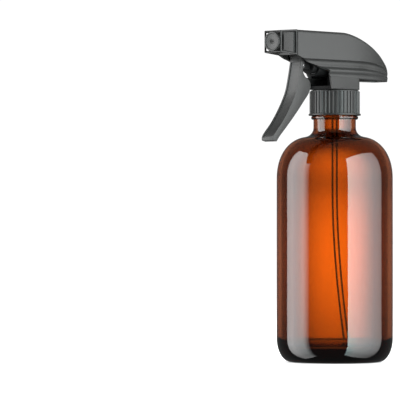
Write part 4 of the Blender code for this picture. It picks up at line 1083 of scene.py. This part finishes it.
# %% [markdown]
# ## Springs
# Two steel springs work inside the sprayer: one pushes the trigger back, and a tiny one holds
# the outlet valve shut. A spiral with a round section is all a tree needs to make both.

# %% Geometry Nodes: coil spring
def spring_tree():
    tree, given = new_tree("Coil spring", "GeometryNodeTree", [
        GEOMETRY, ("Radius", "NodeSocketFloat", 0.0025), ("Wire", "NodeSocketFloat", 0.0003),
        ("Turns", "NodeSocketFloat", 6.0), ("Length", "NodeSocketFloat", 0.01), MATERIAL,
    ], [GEOMETRY])
    spiral = node(tree, "GeometryNodeCurveSpiral", {
        "Resolution": 28, "Rotations": given["Turns"], "Start Radius": given["Radius"],
        "End Radius": given["Radius"], "Height": given["Length"]})
    circle = node(tree, "GeometryNodeCurvePrimitiveCircle", {
        "Resolution": 10, "Radius": given["Wire"]})
    swept = node(tree, "GeometryNodeCurveToMesh", {
        "Curve": spiral.outputs[0], "Profile Curve": circle.outputs[0], "Fill Caps": True})
    return end_tree(tree, swept.outputs[0], given["Material"])


SPRING = spring_tree()


def spring(name, cad_node, radius, wire, turns, height):
    low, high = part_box(cad_node)
    start, end = -high.y / MM + wire, -low.y / MM - wire
    mesh = grown(SPRING, bpy.data.meshes.new("empty"), {
        "Radius": radius * MM, "Wire": wire * MM, "Turns": turns,
        "Length": (end - start) * MM, "Material": STEEL})
    mesh.transform(forward_axis(height) @ Matrix.Translation((0, 0, start * MM)))
    return add_piece(name, mesh, STEEL, angle=60)


pump_spring = spring("pump_spring", "return_spring", 2.5, 0.3, 6.0, PUMP_HEIGHT)
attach(pump_spring, "head")
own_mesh(pump_spring)
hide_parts("return_spring")
valve_spring = spring("valve_spring", "outlet_spring", 1.55, 0.2, 4.0, BARREL_HEIGHT)
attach(valve_spring, "head")
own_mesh(valve_spring)
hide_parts("outlet_spring")

# %% [markdown]
# ## Seals and the neck insert
# The soft rings, the foam gasket and the white insert in the neck show when the head is lifted
# off. They are turned parts again, each with the rounded edges that its own material has.

# %% Seals, gasket and neck insert
def ring_section(inner, outer, low, high, corner):
    """A ring's section with rounded corners, running down its outer side."""
    quarters = [((outer - corner, high - corner), 90, 0),
                ((outer - corner, low + corner), 0, -90),
                ((inner + corner, low + corner), -90, -180),
                ((inner + corner, high - corner), 180, 90)]
    return [p for centre, start, end in quarters
            for p in arc(centre, (corner, corner), start, end, 4)]


def seal(name, cad_node, body, height):
    low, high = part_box(cad_node)
    outer = (high.x - low.x) / 2 / MM
    inner = {"nozzle_seal": 3.55}.get(cad_node, 4.1)
    mesh = turned(ring_section(inner, outer, -high.y / MM, -low.y / MM, 0.25), 64, ring=True)
    mesh.transform(forward_axis(height))
    piece = add_piece(name, mesh, SEAL_RUBBER, angle=60)
    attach(piece, body)
    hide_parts(cad_node)


seal("front_seal", "piston_seal_front", "piston", PUMP_HEIGHT)
seal("rear_seal", "piston_seal_rear", "piston", PUMP_HEIGHT)
seal("cap_seal", "nozzle_seal", "head", BARREL_HEIGHT)

gasket_low, gasket_high = (corner.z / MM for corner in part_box("bottle_gasket"))
gasket_mesh = turned(ring_section(BORE_RADIUS - 0.2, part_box("bottle_gasket")[1].x / MM,
                                  gasket_low, gasket_high, 0.3), 96, ring=True)
foam_gasket = add_piece("foam_gasket", gasket_mesh, GASKET_FOAM, angle=60)
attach(foam_gasket, "head")
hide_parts("bottle_gasket")

FLANGE_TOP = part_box("neck_adapter")[1].z / MM
FLANGE_BOTTOM = FLANGE_TOP - 1.3
HUB_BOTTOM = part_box("neck_adapter")[0].z / MM
FLANGE_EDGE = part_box("neck_adapter")[1].x / MM
SEAT_TOP = FLANGE_TOP - 9.6
SKIRT_RADIUS = BORE_RADIUS - 0.6
SKIRT_BOTTOM = FLANGE_BOTTOM - 5.6
adapter_mesh = turned([
    (5.2, FLANGE_TOP - 0.2), (5.4, FLANGE_TOP), (FLANGE_EDGE - 0.3, FLANGE_TOP),
    (FLANGE_EDGE, FLANGE_TOP - 0.3), (FLANGE_EDGE, FLANGE_BOTTOM + 0.3),
    (FLANGE_EDGE - 0.3, FLANGE_BOTTOM), (SKIRT_RADIUS + 0.3, FLANGE_BOTTOM),
    (SKIRT_RADIUS, FLANGE_BOTTOM - 0.3), (SKIRT_RADIUS, SKIRT_BOTTOM + 0.8),
    (SKIRT_RADIUS - 0.4, SKIRT_BOTTOM), (SKIRT_RADIUS - 0.8, SKIRT_BOTTOM),
    (SKIRT_RADIUS - 1.0, SKIRT_BOTTOM + 0.3), (SKIRT_RADIUS - 1.0, FLANGE_BOTTOM),
    (6.6, FLANGE_BOTTOM), (6.4, FLANGE_BOTTOM - 0.3), (6.4, SEAT_TOP - 1.6), (6.1, SEAT_TOP - 2.4),
    (4.4, HUB_BOTTOM + 0.2), (4.2, HUB_BOTTOM), (2.6, HUB_BOTTOM), (2.45, HUB_BOTTOM + 0.2),
    (2.45, SEAT_TOP - 2.0), (1.5, SEAT_TOP - 2.0), (1.5, SEAT_TOP), (5.2, SEAT_TOP)], 96, ring=True)
neck_insert = add_piece("neck_insert", adapter_mesh, NATURAL_PLASTIC)
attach(neck_insert, "head")
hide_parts("neck_adapter")

# %% [markdown]
# ## Parts that are right as they are
# The sprayer body, the piston, the valves and the pin are hidden or seen only in glimpses, and
# their measured solids already have the right shape. They stay, with a better material; the body
# and the piston get a near-black that paints the shade they sit in.

# %% Better materials on the solids that stay
KEPT = {"sprayer_body": PAINTED_SHADE_BLACK, "piston": PAINTED_SHADE_BLACK, "outlet_valve": NATURAL_PLASTIC,
        "swirl_spinner": NATURAL_PLASTIC, "inlet_ball": STEEL, "link_pin": STEEL}
for name, material in KEPT.items():
    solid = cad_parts[name]
    for slot in solid.material_slots:
        slot.material = material
    print(name, "is now", material.name)

# %% [markdown]
# ## The camera
# The camera stands low and two metres off, with a long lens. That keeps the bottle's sides
# parallel and its base almost a straight line. It is aimed a little to the left of the bottle,
# which so stands at the right of the frame.

# %% The camera
CAMERA_AZIMUTH = math.radians(40.0)
CAMERA_DISTANCE, CAMERA_HEIGHT = 2.0, 0.085
PAN, TILT = math.radians(2.496), math.radians(0.56)


def around(degrees, distance, height):
    """A place at so many degrees to the right of the camera, seen from the bottle's axis."""
    azimuth = CAMERA_AZIMUTH + math.radians(degrees)
    return Vector((math.sin(azimuth) * distance, -math.cos(azimuth) * distance, height))


camera_data = bpy.data.cameras.new("camera")
camera_data.lens = 278.1
camera_data.sensor_width = 36.0
camera = bpy.data.objects.new("camera", camera_data)
bpy.context.scene.collection.objects.link(camera)
camera.location = around(0.0, CAMERA_DISTANCE, CAMERA_HEIGHT)
to_axis = Vector((-math.sin(CAMERA_AZIMUTH), math.cos(CAMERA_AZIMUTH), 0.0))
to_right = Vector((math.cos(CAMERA_AZIMUTH), math.sin(CAMERA_AZIMUTH), 0.0))
level_aim = to_axis * math.cos(PAN) - to_right * math.sin(PAN)
aim = level_aim * math.cos(TILT) + Vector((0, 0, math.sin(TILT)))
camera.rotation_euler = aim.to_track_quat("-Z", "Y").to_euler()
bpy.context.scene.camera = camera
print("camera at", [round(c, 3) for c in camera.location])

# %% [markdown]
# ## Floor and softboxes
# Glass shows what stands round it. Two tall softboxes, one on each side, draw the long pale
# panels on the bottle and light the black head. They light what they face but are hidden from
# the camera, and the floor is left out of reflections so that it draws no line on the glass.

# %% Floor and softboxes
def stage_plane(name, corners, material):
    mesh = raw_mesh(name, corners, [], [tuple(range(len(corners)))], scale=1.0)
    mesh.materials.append(material)
    plane = guide_object(name, mesh)
    return plane


floor_material = bpy.data.materials.new("pale floor")
floor_material.use_nodes = True
floor_shader = floor_material.node_tree.nodes["Principled BSDF"]
floor_shader.inputs["Base Color"].default_value = (0.9, 0.9, 0.9, 1)
floor_shader.inputs["Roughness"].default_value = 0.8
floor_shader.inputs["Emission Color"].default_value = (1, 1, 1, 1)
floor_shader.inputs["Emission Strength"].default_value = 0.35
REACH = 12.0
floor = stage_plane("floor", [(-REACH, -REACH, -0.0003), (REACH, -REACH, -0.0003),
                              (REACH, REACH, -0.0003), (-REACH, REACH, -0.0003)], floor_material)
floor.visible_glossy = False
floor.visible_transmission = False


FOOT_DIMMING = 0.42


def softbox(name, start, end, distance, low, high, strengths):
    """A tall flat light between two angles. Its strengths run from one edge to the other, each
    as (place, strength, red), where red below 1 makes that strip cooler."""
    middle, half = (start + end) / 2, math.radians(abs(end - start) / 2)
    reach = distance / math.cos(half)
    corners = [around(start, reach, low), around(end, reach, low),
               around(end, reach, high), around(start, reach, high)]
    material = bpy.data.materials.new(name)
    material.use_nodes = True
    tree = material.node_tree
    tree.nodes.clear()
    place = node(tree, "ShaderNodeUVMap", uv_map="across").outputs[0]
    across, upwards, _ = node(tree, "ShaderNodeSeparateXYZ", {0: place}).outputs
    ramp = node(tree, "ShaderNodeValToRGB", {0: across})
    while len(ramp.color_ramp.elements) < len(strengths):
        ramp.color_ramp.elements.new(0.5)
    peak = max(value for at, value, red in strengths)
    for stop, (at, value, red) in zip(ramp.color_ramp.elements, strengths):
        stop.position = at
        stop.color = (value / peak * red, value / peak, value / peak, 1.0)
    # The foot of the light is dimmer, so that edges which face down stay dark.
    dimmed = node(tree, "ShaderNodeMapRange", {
        "Value": upwards, "From Min": 0.2, "From Max": 0.52,
        "To Min": FOOT_DIMMING * peak, "To Max": peak})
    glow = node(tree, "ShaderNodeEmission", {
        "Color": ramp.outputs[0], "Strength": dimmed.outputs[0]})
    node(tree, "ShaderNodeOutputMaterial", {0: glow.outputs[0]})
    panel = stage_plane(name, corners, material)
    layer = panel.data.uv_layers.new(name="across")
    for loop, uv in zip(layer.data, ((0, 0), (1, 0), (1, 1), (0, 1))):
        loop.uv = uv
    panel.visible_camera = False
    panel.visible_transmission = False
    print("%s at %d degrees" % (name, middle))


softbox("right softbox", 25.5, 104.6, 0.9, -1.4, 1.0,
        [(0.0, 10.5, 0.75), (0.3, 8.3, 0.95), (0.85, 3.6, 1.0), (1.0, 2.4, 1.0)])
softbox("left softbox", -51.0, -107.5, 0.9, -1.4, 1.0,
        [(0.0, 0.3, 0.9), (0.25, 6.2, 0.95), (0.7, 6.7, 1.0), (1.0, 4.4, 1.0)])

# %% [markdown]
# ## The surroundings
# The world lights everything a little from all sides. Light Path tells it which kind of ray is
# asking, so the eye sees plain white, clear glass passes bright light, and a glossy surface
# mirrors only a dim grey. That keeps the plastic black and the bottle's edges dark.

# %% The surroundings
world = bpy.data.worlds.new("studio")
bpy.context.scene.world = world
world.use_nodes = True
tree = world.node_tree
tree.nodes.clear()
path_kind = node(tree, "ShaderNodeLightPath").outputs
to_eye = node(tree, "ShaderNodeBackground", {"Color": (1, 1, 1, 1), "Strength": 1.05})
to_glass = node(tree, "ShaderNodeBackground", {"Color": (1, 1, 1, 1), "Strength": 1.5})
to_gloss = node(tree, "ShaderNodeBackground", {"Color": (1, 1, 1, 1), "Strength": 0.1})
around_it = node(tree, "ShaderNodeBackground", {"Color": (1, 1, 1, 1), "Strength": 0.9})
choice = node(tree, "ShaderNodeMixShader", {
    0: path_kind["Is Glossy Ray"], 1: around_it.outputs[0], 2: to_gloss.outputs[0]})
choice = node(tree, "ShaderNodeMixShader", {
    0: path_kind["Is Transmission Ray"], 1: choice.outputs[0], 2: to_glass.outputs[0]})
choice = node(tree, "ShaderNodeMixShader", {
    0: path_kind["Is Camera Ray"], 1: choice.outputs[0], 2: to_eye.outputs[0]})
node(tree, "ShaderNodeOutputWorld", {0: choice.outputs[0]})

scene = bpy.context.scene
scene.view_settings.view_transform = "Standard"
scene.view_settings.look = "None"
scene.cycles.max_bounces = 24
scene.cycles.transmission_bounces = 20
scene.cycles.glossy_bounces = 6
scene.cycles.use_denoising = True
print("lights and surroundings are set")
